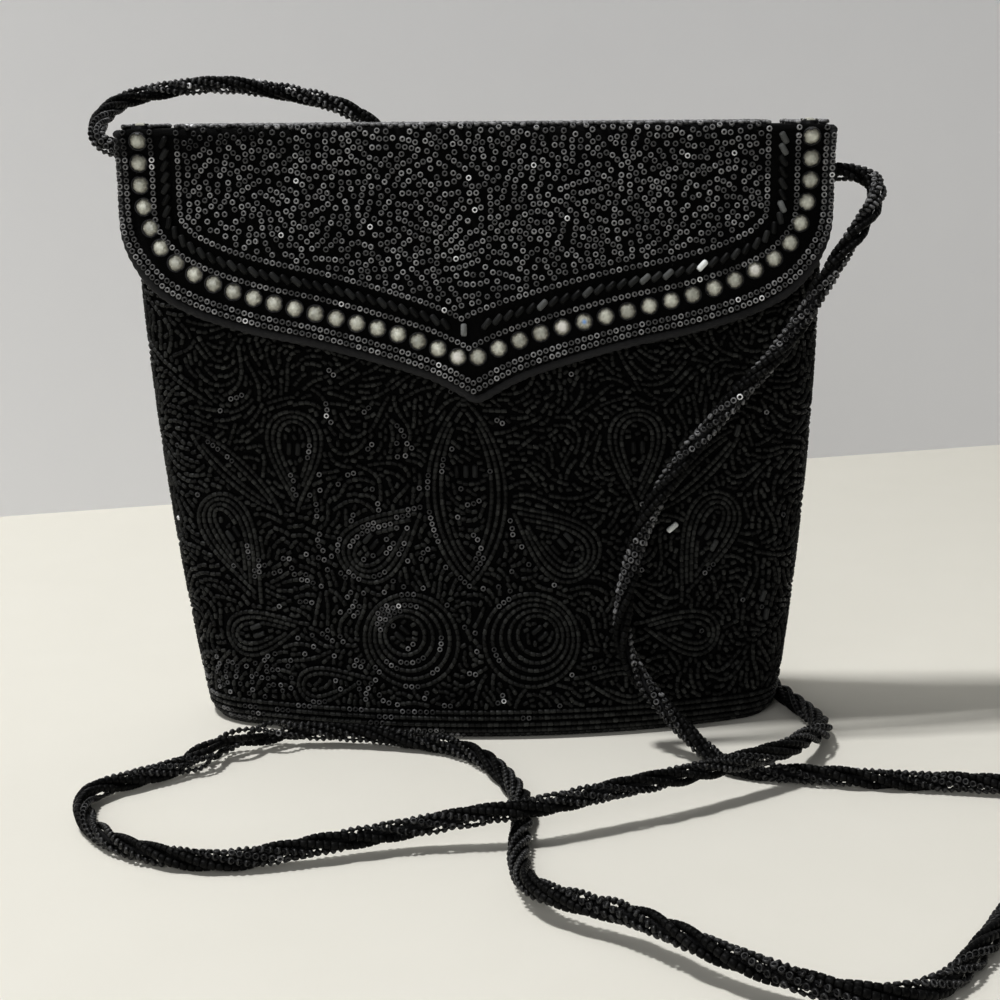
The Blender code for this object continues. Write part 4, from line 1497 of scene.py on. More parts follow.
@dataclass
class BodyBeading:
    """The beads on the bag body: the front's pattern, wandering strings, and rows at foot and mouth."""

    body: BodyShape
    bead: BeadSize = BeadSize(0.00128, 0.00164, 6)
    spark: BeadSize = BeadSize(0.00150, 0.0010, 8)
    bugle: BeadSize = BeadSize(0.0016, 0.0036, 6)
    gap: float = 0.00148
    pitch: float = 0.00164
    wave: float = 0.0060
    row_pitch: float = 0.00185
    lift: float = 0.00056
    axis_x: float = -0.0052
    foot_rows: tuple = (0.0008, 0.0025, 0.0042, 0.0059, 0.0076)
    mouth_row: float = 0.1584
    low: float = 0.0088
    high: float = 0.1572
    snap_height: float = 0.1080
    snap_clear: float = 0.0074
    seam: float = 0.715
    # Loose bugles: place across, height, heading in degrees and painted highlight.
    loose_bugles: tuple = (
        (0.0503, 0.0570, 38, 0.80), (0.0620, 0.0514, 60, 0.05), (0.0687, 0.0827, 75, 0.03),
        (0.0766, 0.0361, 70, 0.04), (0.0778, 0.0307, 80, 0.03),
    )
    sparkle: tuple[float, float] = (-0.0259, 0.0384)
    ring_run: int = 3
    ring_lean: float = 0.12
    bugle_hold: tuple = (-0.34, 0.0, 0.34)
    figure_room: float = 0.86
    row_room: float = 0.9
    seed_pitch: float = 0.0006
    longest: int = 9
    string_seed: int = 7
    end_seed: int = 11
    tone_seed: int = 21
    string_tones: tuple = (0.05, 0.75, 0.003)
    pattern_tones: tuple = (0.10, 0.85, 0.002)
    spark_tones: tuple = (0.04, 0.30, 0.01)
    bugle_tones: tuple = (0.0, 0.03, 0.0)
    patches: tuple = (
        SparkPatch(-0.029, 0.038, (0.025, 0.034), 0.34), SparkPatch(-0.066, 0.013, (0.020, 0.009), 0.45),
        SparkPatch(-0.028, 0.004, (0.032, 0.005), 0.35), SparkPatch(0.0, 0.080, (0.200, 0.100), 0.008),
    )

    def allowed(self, x: float, z: float) -> bool:
        """Tells whether a bead may lie at a place of the unrolled wall."""
        return self.low <= z <= self.high and x ** 2 + (z - self.snap_height) ** 2 > self.snap_clear ** 2

    def pattern(self, spacing: Spacing) -> tuple[Array, Array]:
        """Lays the front's figures and the rows round the bag.

        Args:
            spacing: What keeps the beads apart.

        Returns:
            Beads and bugles, each as place and direction.
        """
        beads, bugles = [], []
        for figure in FIGURES:
            for mirror in ((1, -1) if figure.x else (1,)):
                for bead in figure.bugle_places(mirror):
                    bugles.append(bead + (self.axis_x, 0, 0))
        bugles += [(x, z, radians(angle)) for x, z, angle, _ in self.loose_bugles]
        for x, z, heading in bugles:
            for part in self.bugle_hold:
                reach = part * self.bugle.length
                spacing.take(x + reach * cos(heading), z + reach * sin(heading))
        for figure in FIGURES:
            for row in range(figure.rows):
                for mirror in ((1, -1) if figure.x else (1,)):
                    line = figure.outline(row, self.row_pitch, mirror) + (self.axis_x, 0)
                    beads.append(spacing.row(even_points(line, self.pitch)[:-1], self.figure_room))
        for up in (*self.foot_rows, self.mouth_row):
            half = float(self.body.half_way(max(up, 0.0)))
            line = np.array(((-half, up), (half, up)))
            beads.append(spacing.row(even_points(line, self.pitch)[:-1], self.row_room))
        return np.concatenate(beads), np.vstack(bugles)

    def sew(self, shop: Workshop, name: str, tray: BeadTray, finish: Finish, beads: Array,
            tones: Array) -> None:
        """Makes a piece of beads that lie along their strings on the wall, less those past the back's middle.

        Args:
            shop: Makes the piece.
            name: The piece's name.
            tray: The tray to put the beads on.
            finish: Their finish.
            beads: Place and direction of each bead.
            tones: The glint of each bead.
        """
        half = self.body.half_way(np.maximum(beads[:, 1], 0))
        on_wall = np.abs(beads[:, 0]) - SURFACE_STEP < half
        beads, tones = beads[on_wall], tones[on_wall]
        points, along, up, normal = surface_frame(self.body.wall, beads[:, 0], beads[:, 1])
        heading = beads[:, 2][:, None]
        ways = along * np.cos(heading) + up * np.sin(heading)
        lifted = points + normal * self.lift
        if tray.form is BeadForm.RING:
            tray.add(lifted, normal + self.ring_lean * ways, along, tones)
        else:
            tray.add(lifted, ways, normal, tones)
        shop.piece(name, tray.mesh(name), finish, Slot.BEADED_CLOTH, Body.BAG)

    def parts(self, beads: Array) -> dict[str, Array]:
        """Sorts beads by the panel that they lie on."""
        z = np.maximum(beads[:, 1], 0)
        share = np.abs(beads[:, 0]) / self.body.half_way(z) * 2
        front = np.interp(self.seam, self.body.quarters, self.quarter_share())
        right = beads[:, 0] >= 0
        on_front, on_back = share < front, share > 2 - front
        sides = ~on_front & ~on_back
        return {
            "front_beads_left": on_front & ~right, "front_beads_right": on_front & right,
            "left_gusset_beads": sides & ~right, "right_gusset_beads": sides & right,
            "back_beads_left": on_back & ~right, "back_beads_right": on_back & right,
        }

    def quarter_share(self) -> Array:
        """Returns the share of half the oval's length, from 0 to 2, at each tabulated quarter."""
        middle = self.body.heights // 2
        table = self.body.quarter_at[middle]
        return np.interp(self.body.quarters, table, np.linspace(0, 2, len(table)))

    def build(self, shop: Workshop) -> None:
        """Builds the beads."""
        dice = random.Random(self.string_seed)
        spacing = Spacing(self.gap)
        pattern, bugles = self.pattern(spacing)
        half = float(self.body.half_way(self.body.height / 2))
        seeds = scattered((-half, self.low), (half, self.high), self.seed_pitch, dice)
        strings = spacing.strings(seeds, self.pitch, self.longest, self.wave, self.allowed, dice)
        on_end = []
        for beads in (pattern, strings):
            runs = np.random.default_rng(self.end_seed + len(on_end)).random(len(beads) // self.ring_run + 1)
            chance = np.repeat(runs, self.ring_run)[:len(beads)]
            on_end.append(chance < sum(patch.chance(beads) for patch in self.patches))
        for number, (name, wanted) in enumerate(self.parts(strings).items()):
            chosen = strings[wanted & ~on_end[1]]
            tones = glints(len(chosen), number, *self.string_tones)
            self.sew(shop, name, BeadTray(BeadForm.BARREL, self.bead), BODY_BEAD, chosen, tones)
        chosen = pattern[~on_end[0]]
        tones = glints(len(chosen), self.tone_seed, *self.pattern_tones)
        self.sew(shop, "pattern_beads", BeadTray(BeadForm.BARREL, self.bead), BODY_BEAD, chosen, tones)
        # Beads on end, whose rims carry the painted ring highlight.
        chosen = np.vstack((pattern[on_end[0]], strings[on_end[1]]))
        tones = glints(len(chosen), self.tone_seed + 1, *self.spark_tones)
        # Painted sparkle: the bead nearest the sparkle place shows its highlight at full.
        tones[np.argmin(np.hypot(*(chosen[:, :2] - self.sparkle).T))] = 1.0
        self.sew(shop, "spark_beads", BeadTray(BeadForm.RING, self.spark), FLAP_BEAD, chosen, tones)
        tones = glints(len(bugles), self.tone_seed + 2, *self.bugle_tones)
        # Painted highlights on the loose bugles.
        tones[-len(self.loose_bugles):] = [tone for *_, tone in self.loose_bugles]
        self.sew(shop, "pattern_bugles", BeadTray(BeadForm.BUGLE, self.bugle), BUGLE, bugles, tones)


@dataclass
class BagBody:
    """The bag body's cloth and lining."""

    body: BodyShape
    cloth: float = 0.0007
    satin: float = 0.0004
    lining_inset: float = 0.0024
    pocket_inset: float = 0.0032
    turn_in: float = 0.0021
    mouth_drop: float = 0.0004
    board_top: float = 0.0026
    pocket_mouth: float = 0.1300
    pocket_height: float = 0.0600
    pocket_half_width: float = 0.0520
    pocket_gape: float = 0.0016
    foot_gap: float = 0.0002
    edge_turn: float = 0.0006
    probe: float = 0.004
    oval_share: float = 0.86
    lining_foot: float = 0.0006
    lining_drop: float = 0.0008
    crease_depth: float = 0.001
    crease_lengths: tuple = (0.013, 0.021, 0.019, 0.047)
    crease_share: float = 0.35
    foot_draw: float = 0.055

    def build_cloth(self, shop: Workshop) -> None:
        """Builds the outer cloth, with its top edge turned in over the mouth."""
        foot = self.body.fillet * (1 - pi / 2) + self.foot_gap
        top = self.body.height - self.mouth_drop
        full = top - foot + self.edge_turn + self.turn_in

        def place(u: Array, v: Array) -> Array:
            """Returns the cloth's points, turned in above the mouth."""
            up = foot + v * full
            inset = np.clip(up - top - self.edge_turn, 0, None)
            height = np.minimum(up, top) + np.clip(up - top, 0, self.edge_turn) * 0.5
            half = self.body.half_way(np.clip(height, 0, None))
            points = self.body.wall((2 * u - 1) * half, height)
            inner = self.body.wall((2 * u - 1) * half, height, self.probe)
            return points + (inner - points) * (inset / self.probe)[:, None]

        width = 2 * float(self.body.half_way(self.body.height / 2))
        bm = placed_grid(180, 60, place, (width, full))
        bmesh.ops.remove_doubles(bm, verts=bm.verts, dist=SAME_PLACE)
        mesh = sheet_mesh(bm, "body_cloth", self.cloth, lambda point: (point.x, point.y * 3, 0))
        cloth = shop.piece(mesh.name, mesh, CLOTH, Slot.BEADED_CLOTH, Body.BAG,
                           ["front_panel", "back_panel", "left_gusset", "right_gusset"])

    def oval_sheet(self, z: float, inset: float) -> tuple[BMesh, tuple[float, float]]:
        """Lays an oval sheet flat.

        Args:
            z: Its height.
            inset: How far it is drawn in from the wall.

        Returns:
            The sheet, and its width and length.
        """
        outline = self.body.oval(z, inset, np.array((0.0, 1.0, 2.0)))
        middle, half = (outline[0, 0] + outline[2, 0]) / 2, (outline[0, 0] - outline[2, 0]) / 2

        def place(u: Array, v: Array) -> Array:
            """Returns the oval's points."""
            x = np.sin((u - 0.5) * pi) * half * 0.9995
            depth = self.body.base_half_depth_at(x, z, inset)
            return np.stack((x + middle, (2 * v - 1) * depth, np.full_like(x, z)), axis=-1)

        size = (2 * half, -2 * float(outline[1, 1]))
        return placed_grid(60, 14, place, size), size

    def build_base(self, shop: Workshop) -> None:
        """Builds the base's cloth outside and its lining inside."""
        bm, size = self.oval_sheet(self.foot_gap, self.body.fillet)
        mesh = sheet_mesh(bm, "base_cloth", self.cloth, lambda point: (0, 0, -1))
        base = shop.piece(mesh.name, mesh, CLOTH, Slot.BEADED_CLOTH, Body.BAG, ["base_panel"])
        bm, size = self.oval_sheet(self.board_top + self.satin, self.body.fillet - self.foot_gap)
        mesh = sheet_mesh(bm, "base_satin", self.satin, lambda point: (0, 0, 1))
        satin = shop.piece(mesh.name, mesh, SATIN, Slot.SATIN, Body.BAG, ["base_lining"])

    def build_lining(self, shop: Workshop) -> None:
        """Builds the satin lining of the walls, with soft creases."""
        foot = self.board_top + self.lining_foot
        top = self.body.height - self.lining_drop

        def place(u: Array, v: Array) -> Array:
            """Returns the lining's points, creased and drawn in at the foot."""
            up = foot + v * (top - foot)
            half = self.body.half_way(up)
            across = (2 * u - 1) * half
            height = np.maximum(up, self.body.fillet)
            outer = self.body.wall(across, height, self.lining_inset)
            inner = self.body.wall(across, height, self.lining_inset + self.crease_depth)
            first, second, third, fourth = self.crease_lengths
            crease = np.sin(across / first + 3 * np.sin(up / second)) * np.sin(up / third + across / fourth)
            crease = self.crease_share * (1 + crease) * np.sin(np.clip(v, 0, 1) * pi)
            points = outer + (inner - outer) * crease[:, None]
            drawn = np.clip((self.body.fillet - up) / self.body.fillet, 0, 1)[:, None] ** 2
            points[:, :2] *= 1 - self.foot_draw * drawn
            points[:, 2] = up
            return points

        width = 2 * float(self.body.half_way(self.body.height / 2))
        bm = placed_grid(150, 40, place, (width, top - foot))
        bmesh.ops.remove_doubles(bm, verts=bm.verts, dist=SAME_PLACE)
        mesh = sheet_mesh(bm, "lining_satin", self.satin, lambda point: (-point.x, -point.y * 3, 0))
        lining = shop.piece(mesh.name, mesh, SATIN, Slot.SATIN, Body.BAG,
                            ["front_lining", "back_lining", "left_gusset_lining", "right_gusset_lining"])

    def build_pocket(self, shop: Workshop) -> None:
        """Builds the slip pocket on the back lining, with a mouth that gapes a little."""
        low = self.pocket_mouth - self.pocket_height

        def place(u: Array, v: Array) -> Array:
            """Returns the pocket's points."""
            up = low + v * self.pocket_height
            half = self.body.half_way(up)
            across = half - (u - 0.5) * 2 * self.pocket_half_width
            across = np.where(across > half, across - 2 * half, across)
            outer = self.body.wall(across, up, self.pocket_inset)
            gape = self.pocket_gape * v ** 3 * np.sin(u * pi)
            return outer - np.stack((np.zeros_like(u), gape, np.zeros_like(u)), axis=-1)

        size = (2 * self.pocket_half_width, self.pocket_height)
        bm = placed_grid(48, 24, place, size)
        mesh = sheet_mesh(bm, "pocket_satin", self.satin, lambda point: (0, -1, 0))
        pocket = shop.piece(mesh.name, mesh, SATIN, Slot.SATIN, Body.BAG, ["inner_pocket"])

    def build(self, shop: Workshop) -> None:
        """Builds cloth, base, lining and pocket."""
        self.build_cloth(shop)
        self.build_base(shop)
        self.build_lining(shop)
        self.build_pocket(shop)


@dataclass
class FlapCloth:
    """The flap's cloth, satin and piping."""

    flap: FlapShape
    cloth: float = 0.0007
    satin: float = 0.0004
    satin_depth: float = 0.0025
    inset: float = 0.0006
    piping_radius: float = 0.0012
    seam_radius: float = 0.0007
    meeting: float = 0.010
    tail: float = 0.0030
    twist_pitch: float = 0.0026
    twist_depth: float = 0.10
    column_pitch: float = 0.0022
    bend: float = 1.6
    hem: float = 0.0003
    middle: float = 0.012
    pointed_share: float = 0.72
    satin_turn: float = 0.0012
    satin_start: float = 0.0008
    satin_end: float = 0.0004
    seam_gap: float = 0.0002
    tip_reach: float = 1.35
    tip_gap: float = 0.0004
    edge_step: float = 0.0010
    cord_step: float = 0.0008

    def columns(self) -> tuple[Array, Array]:
        """Returns the flap's columns from left to right: place across and height of the edge."""
        half = even_points(self.flap.edge()[1:], self.column_pitch)
        x = np.concatenate((-half[:, 0], half[-2::-1, 0]))
        z = np.concatenate((half[:, 1], half[-2::-1, 1]))
        return x, z

    def front_fold(self) -> Fold:
        """Returns the front fold, with where the bend over it starts and ends."""
        flap = self.flap
        reach = self.bend * flap.radius
        return Fold(Body.FLAP_TOP, Body.FLAP_FRONT, (0, flap.front_fold + reach, flap.fold_height + reach),
                    (0, flap.front_fold - reach, flap.fold_height - reach))

    def back_fold(self) -> Fold:
        """Returns the back fold, with where the bend over it starts and ends."""
        flap = self.flap
        reach = self.bend * flap.radius
        return Fold(Body.BAG, Body.FLAP_TOP, (0, flap.back_fold + reach, flap.fold_height - reach),
                    (0, flap.back_fold - reach, flap.fold_height + reach))

    def build_front(self, shop: Workshop) -> None:
        """Builds the outer cloth from the edge over the front fold to the middle of the strip."""
        flap = self.flap
        x, edge = self.columns()
        top = flap.strip_start + self.meeting
        rows = 44

        def place(u: Array, v: Array) -> Array:
            """Returns the cloth's points, with a hem turned under along the edge."""
            column = np.rint(u * (len(x) - 1)).astype(int)
            turned = v * (rows + 1) - 1
            share = np.clip(turned, 0, None) / rows
            up = edge[column] + (top - edge[column]) * share
            points = flap.cloth(x[column], up)
            hem = (turned < -0.5)[:, None]
            return np.where(hem, points + (0, flap.stack - self.hem, 0), points)

        size = (2 * flap.half_width, top - flap.body.height + flap.point_drop)
        bm = placed_grid(len(x) - 1, rows + 1, place, size)
        mesh = sheet_mesh(bm, "flap_cloth", self.cloth, self.outwards)
        cloth = shop.piece(mesh.name, mesh, CLOTH, Slot.BEADED_CLOTH, self.front_fold(), ["flap_panel"])

    def outwards(self, point: Vector) -> tuple[float, float, float]:
        """Returns the way from under the flap out to a point of its cloth."""
        flap = self.flap
        return 0, point.y - flap.front_fold - self.middle, point.z - flap.fold_height + self.middle

    def inwards(self, point: Vector) -> tuple[float, float, float]:
        """Returns the way from a point of the flap's satin in under the flap."""
        _, y, z = self.outwards(point)
        return 0, -y, -z

    def build_top(self, shop: Workshop) -> None:
        """Builds the strip's cloth from its middle over the back fold to the back panel."""
        flap = self.flap
        low, high = flap.strip_start + self.meeting, flap.wall_start + self.tail

        def place(u: Array, v: Array) -> Array:
            """Returns the strip's points."""
            return flap.cloth((2 * u - 1) * flap.half_width, low + (high - low) * v)

        size = (2 * flap.half_width, high - low)
        mesh = sheet_mesh(placed_grid(60, 24, place, size), "flap_top_cloth", self.cloth, self.outwards)
        cloth = shop.piece(mesh.name, mesh, CLOTH, Slot.BEADED_CLOTH, self.back_fold(), ["flap_top_panel"])

    def build_satin(self, shop: Workshop) -> None:
        """Builds the satin under the flap: one piece over the front fold and one over the back fold."""
        flap = self.flap
        x, edge = self.columns()
        x = x * (1 - self.inset / flap.half_width)
        roof = flap.fold_height + flap.radius - self.satin_depth
        turn_z = roof - self.satin_turn
        inner = flap.front(np.zeros(1), np.array([turn_z]), self.satin_depth)[0, 1]
        rows, turned = 30, 6

        def place(u: Array, v: Array) -> Array:
            """Returns the satin's points up the front and along under the strip."""
            column = np.rint(u * (len(x) - 1)).astype(int)
            low = edge[column] + self.inset
            share = v * rows
            z = low + (turn_z - low) * np.clip(share / (rows - turned), 0, 1)
            front = flap.front(x[column], z, self.satin_depth)
            run = np.clip((share - (rows - turned)) / turned, 0, 1)
            start = inner + self.satin_start
            y = start + run * (flap.front_fold + self.meeting - start)
            strip = np.stack((x[column], y, np.full_like(y, roof)), axis=-1)
            return np.where((run > 0)[:, None], strip, front)

        size = (2 * flap.half_width, roof - flap.body.height + flap.point_drop + self.meeting)
        mesh = sheet_mesh(placed_grid(len(x) - 1, rows, place, size), "flap_satin", self.satin, self.inwards)
        satin = shop.piece(mesh.name, mesh, SATIN, Slot.SATIN, self.front_fold(), ["flap_lining"])
        start, stop = flap.front_fold + self.meeting, flap.back_fold - self.satin_end

        def strip_place(u: Array, v: Array) -> Array:
            """Returns the points under the back of the strip."""
            across = (2 * u - 1) * (flap.half_width - self.inset)
            return np.stack((across, start + (stop - start) * v, np.full_like(u, roof)), axis=-1)

        size = (2 * flap.half_width, stop - start)
        bm = placed_grid(40, 10, strip_place, size)
        mesh = sheet_mesh(bm, "flap_top_satin", self.satin, lambda point: (0, 0, -1))
        satin = shop.piece(mesh.name, mesh, SATIN, Slot.SATIN, Body.FLAP_TOP, ["flap_top_lining"])

    def build_piping(self, shop: Workshop) -> None:
        """Builds the twisted piping cords of the flap's edge and the strip's ends, and the strip's seam."""
        flap = self.flap
        half = even_points(flap.edge(), self.edge_step)
        way = tangents(half)
        reach = self.piping_radius + self.seam_gap
        moved = half + np.stack((-way[:, 1], way[:, 0]), axis=-1) * reach
        moved = moved[moved[:, 0] > self.tip_gap]
        tip = np.array(((0.0, flap.body.height - flap.point_drop - self.tip_reach * reach),))
        right = np.vstack((moved, tip))
        left = (right * (-1, 1))[-2::-1]
        line = even_points(smooth_curve(np.vstack((right, left))[::3], 6), self.cord_step)
        path = flap.front(line[:, 0], line[:, 1], flap.stack / 2)

        def radius(angle: Array, run: Array) -> Array:
            """Returns the twisted cord's radius."""
            twist = np.cos(2 * angle - run / self.twist_pitch * tau)
            return self.piping_radius * (0.95 + self.twist_depth * twist)

        def seam(angle: Array, run: Array) -> Array:
            """Returns the seam's radius."""
            return np.full_like(angle, self.seam_radius)

        mesh = mesh_from(tube_grid(path, radius, 12), "piping_cord")
        shop.piece("piping_cord", mesh, CORD, Slot.PIPING, Body.FLAP_FRONT, ["flap_piping"])
        y = np.linspace(flap.front_fold, flap.back_fold, 40)
        for name, side in (("left", -1), ("right", 1)):
            across = np.full_like(y, side * (flap.half_width + reach))
            path = np.stack((across, y, np.full_like(y, flap.fold_height)), axis=-1)
            mesh = mesh_from(tube_grid(path, radius, 12), f"{name}_strip_piping")
            shop.piece(mesh.name, mesh, CORD, Slot.PIPING, Body.FLAP_TOP)
        x = np.linspace(-1, 1, 80) * (flap.half_width - self.seam_gap)
        path = np.stack((x, np.full_like(x, flap.back_fold), np.full_like(x, flap.fold_height)), axis=-1)
        mesh = mesh_from(tube_grid(path, seam, 8), "strip_seam")
        shop.piece(mesh.name, mesh, CLOTH, Slot.BEADED_CLOTH, Body.FLAP_TOP)

    def build(self, shop: Workshop) -> None:
        """Builds cloth, satin and piping."""
        self.build_front(shop)
        self.build_top(shop)
        self.build_satin(shop)
        self.build_piping(shop)


@dataclass(frozen=True)
class EdgeRow:
    """A row of beads along the flap's edge: how far in it lies at the side and along the sweep."""

    side: float
    sweep: float
    shift: float


@dataclass
class FlapBeading:
    """The flap's beads: rows along the edge, a band of bugles, and a field of wandering strings."""

    flap: FlapShape
    bead: BeadSize = BeadSize(0.00156, 0.00105, 8)
    bugle: BeadSize = BeadSize(0.0017, 0.0034, 7)
    gap: float = 0.00170
    pitch: float = 0.00172
    wave: float = 0.0065
    lift: float = 0.00052
    bugle_pitch: float = 0.0030
    bugle_slant: float = radians(30)
    bent: float = 0.0009
    outer_row: EdgeRow = EdgeRow(-0.0015, 0.0008, 0.0010)
    second_row: EdgeRow = EdgeRow(0.0004, 0.0027, 0.0010)
    stone_row: EdgeRow = EdgeRow(0.0075, 0.0106, 0.0021)
    field_edge: EdgeRow = EdgeRow(0.0148, 0.0174, 0.0040)
    band: EdgeRow = EdgeRow(0.0111, 0.0138, 0.0030)
    corner_start: float = 0.25
    corner_span: float = 0.40
    smoothing: int = 12
    tilt: float = 0.16
    seed_pitch: float = 0.0006
    longest: int = 6
    side_room: float = 0.0014
    edge_room: float = 0.0010
    fold_room: float = 0.0004
    row_tones: tuple = (0.07, 0.42, 0.02)
    field_tones: tuple = (0.08, 0.42, 0.008)
    bugle_tones: tuple = (0.0, 0.02, 0.0)
    upright_tone: float = 0.2
    tip_slope: float = 0.3
    field_seed: int = 17
    bugle_seed: int = 5
    tilt_seed: int = 5
    tone_seed: int = 6
    sparkle_reach: float = 0.0012
    corner_shade_share: float = 0.12
    # Bugles with a painted highlight: place across, length up and strength.
    highlit_bugles: tuple = ((0.0163, 0.1195, 0.10), (0.0273, 0.1222, 0.15), (0.0301, 0.1214, 0.05),
                          (0.0445, 0.1256, 0.11), (0.0511, 0.1266, 0.09), (0.0579, 0.1291, 1.0),
                          (0.0763, 0.1435, 0.16), (0.0783, 0.1567, 0.10), (0.0804, 0.1621, 0.08))
    upright: tuple[float, float] = (-0.0034, 0.1117)
    shaded_corner: tuple = ((-0.0895, 0.1566), (-0.0545, 0.1608))
    sparkles: tuple = ((-0.0294, 0.1558), (-0.0548, 0.1491), (-0.0834, 0.1539), (-0.0456, 0.1504))

    def line(self, row: EdgeRow) -> Array:
        """Returns the right half of a row from the middle of the flap out and up to the back fold."""
        flap = self.flap
        edge = even_points(np.vstack(((flap.half_width, flap.strip_end), flap.edge())), self.seed_pitch)
        way = tangents(edge)
        drop = (flap.body.height - edge[:, 1]) / flap.point_drop
        share = np.clip((drop - self.corner_start) / self.corner_span, 0, 1)
        share = share * share * (3 - 2 * share)
        depth = row.side + (row.sweep - row.side) * share
        moved = edge + np.stack((way[:, 1], -way[:, 0]), axis=-1) * depth[:, None]
        for _ in range(self.smoothing):
            moved[1:-1] = (moved[:-2] + 2 * moved[1:-1] + moved[2:]) / 4
        kept = moved[moved[:, 0] > 0.0][::-1]
        start = np.array(((0.0, kept[0, 1] - self.tip_slope * kept[0, 0]),))
        return np.vstack((start, kept))

    def both_sides(self, row: EdgeRow, pitch: float) -> Array:
        """Returns a whole row of places, right and left."""
        right = even_points(self.line(row), pitch)
        return self.flap.shifted(np.vstack((right, (right * (-1, 1))[1:])), row.shift)

    def sew(self, places: Array, tones: Array, seed: int, name: str) -> Mesh:
        """Sews ring beads over the flap's cloth, each a little tilted.

        Args:
            places: Place across and length up the cloth of each bead.
            tones: The glint of each bead.
            seed: The seed of chance for their tilt.
            name: The beads' name.

        Returns:
            The mesh of the beads.
        """
        points, along, up, normal = surface_frame(self.flap.cloth, places[:, 0], places[:, 1])
        tilt = np.random.default_rng(seed).normal(0, self.tilt, (2, len(places), 1))
        tray = BeadTray(BeadForm.RING, self.bead)
        tray.add(points + normal * self.lift, normal + along * tilt[0] + up * tilt[1], along, tones)
        return tray.mesh(name)

    def build_bugles(self, shop: Workshop) -> None:
        """Builds the band of slanted bugles, and the upright one over the flap's point."""
        right = even_points(self.line(self.band), self.bugle_pitch)[2:]
        right = right[right[:, 1] < self.flap.fold_height]
        way = tangents(right)
        heading = np.arctan2(way[:, 1], way[:, 0]) + self.bugle_slant
        band = self.flap.shifted(np.vstack((right, right * (-1, 1))), self.band.shift)
        places = np.vstack((band, self.upright))
        headings = np.concatenate((heading, pi - heading, [pi / 2]))[:, None]
        tones = glints(len(places), self.bugle_seed, *self.bugle_tones)
        # Painted highlights on the bugles nearest the given places, and on the upright one.
        for x, up, tone in self.highlit_bugles:
            tones[np.argmin(np.hypot(places[:, 0] - x, places[:, 1] - up))] = tone
        tones[-1] = self.upright_tone
        points, along, up, normal = surface_frame(self.flap.cloth, places[:, 0], places[:, 1])
        ways = along * np.cos(headings) + up * np.sin(headings)
        tray = BeadTray(BeadForm.BUGLE, self.bugle)
        tray.add(points + normal * (self.bugle.diameter / 2), ways, normal, tones)
        shop.piece("bugle_band", tray.mesh("bugle_band"), BUGLE, Slot.BEADED_CLOTH, Body.FLAP_FRONT)

    def field(self, spacing: Spacing) -> Array:
        """Fills the field with wandering strings, from its edge up over the front fold and the strip."""
        flap = self.flap
        edge = self.both_sides(self.field_edge, self.seed_pitch)
        lower = edge[edge[:, 1] < flap.fold_height]
        lower = lower[np.argsort(lower[:, 0])]

        def allowed(x: float, up: float) -> bool:
            """Tells whether a bead may lie at a place of the field."""
            inside = lower[0, 0] + self.side_room < x < lower[-1, 0] - self.side_room
            if not inside or up > flap.strip_end - self.fold_room:
                return False
            return up > np.interp(x, lower[:, 0], lower[:, 1]) + self.edge_room

        dice = random.Random(self.field_seed)
        lowest, highest = (lower[0, 0], lower[:, 1].min()), (lower[-1, 0], flap.strip_end)
        seeds = scattered(lowest, highest, self.seed_pitch, dice)
        return spacing.strings(seeds, self.pitch, self.longest, self.wave, allowed, dice)[:, :2]

    def build(self, shop: Workshop, cloth: FlapCloth) -> None:
        """Builds all the flap's beads: on its front, over its front fold and on the strip."""
        flap = self.flap
        spacing = Spacing(self.gap)
        edge_rows = (self.outer_row, self.second_row, self.stone_row, self.field_edge)
        rows = np.vstack([self.both_sides(row, self.pitch) for row in edge_rows])
        rows = rows[(np.abs(rows[:, 0]) < flap.half_width) | (rows[:, 1] < flap.fold_height)]
        for x, up in rows:
            spacing.take(x, up)
        self.build_bugles(shop)
        groups = (("row", rows, self.row_tones), ("field", self.field(spacing), self.field_tones))
        for number, (kind, places, tones) in enumerate(groups):
            up = places[:, 1]
            # Painted highlight for each bead; near the sparkle places it is painted at full.
            shine = glints(len(places), self.tone_seed + number, *tones)
            for spot in self.sparkles:
                away = np.hypot(*(places - spot).T)
                shine[away < self.sparkle_reach] = 1.0
            # Painted shade: beads above the line across the flap's top left corner keep only a small share of
            # their highlight.
            (left, low), (right, high) = self.shaded_corner
            line = low + (high - low) * (places[:, 0] - left) / (right - left)
            shine[(places[:, 0] < right) & (up > line) & (up < flap.strip_start)] *= self.corner_shade_share
            low, high = flap.fold_height - self.bent, flap.strip_start + self.bent
            parts = (("flap", up <= low, Body.FLAP_FRONT),
                     ("fold", (up > low) & (up < high), cloth.front_fold()),
                     ("strip", up >= high, Body.FLAP_TOP))
            for name, wanted, body in parts:
                seed = self.tilt_seed + number
                mesh = self.sew(places[wanted], shine[wanted], seed, f"{name}_{kind}_beads")
                shop.piece(mesh.name, mesh, FLAP_BEAD, Slot.BEADED_CLOTH, body)


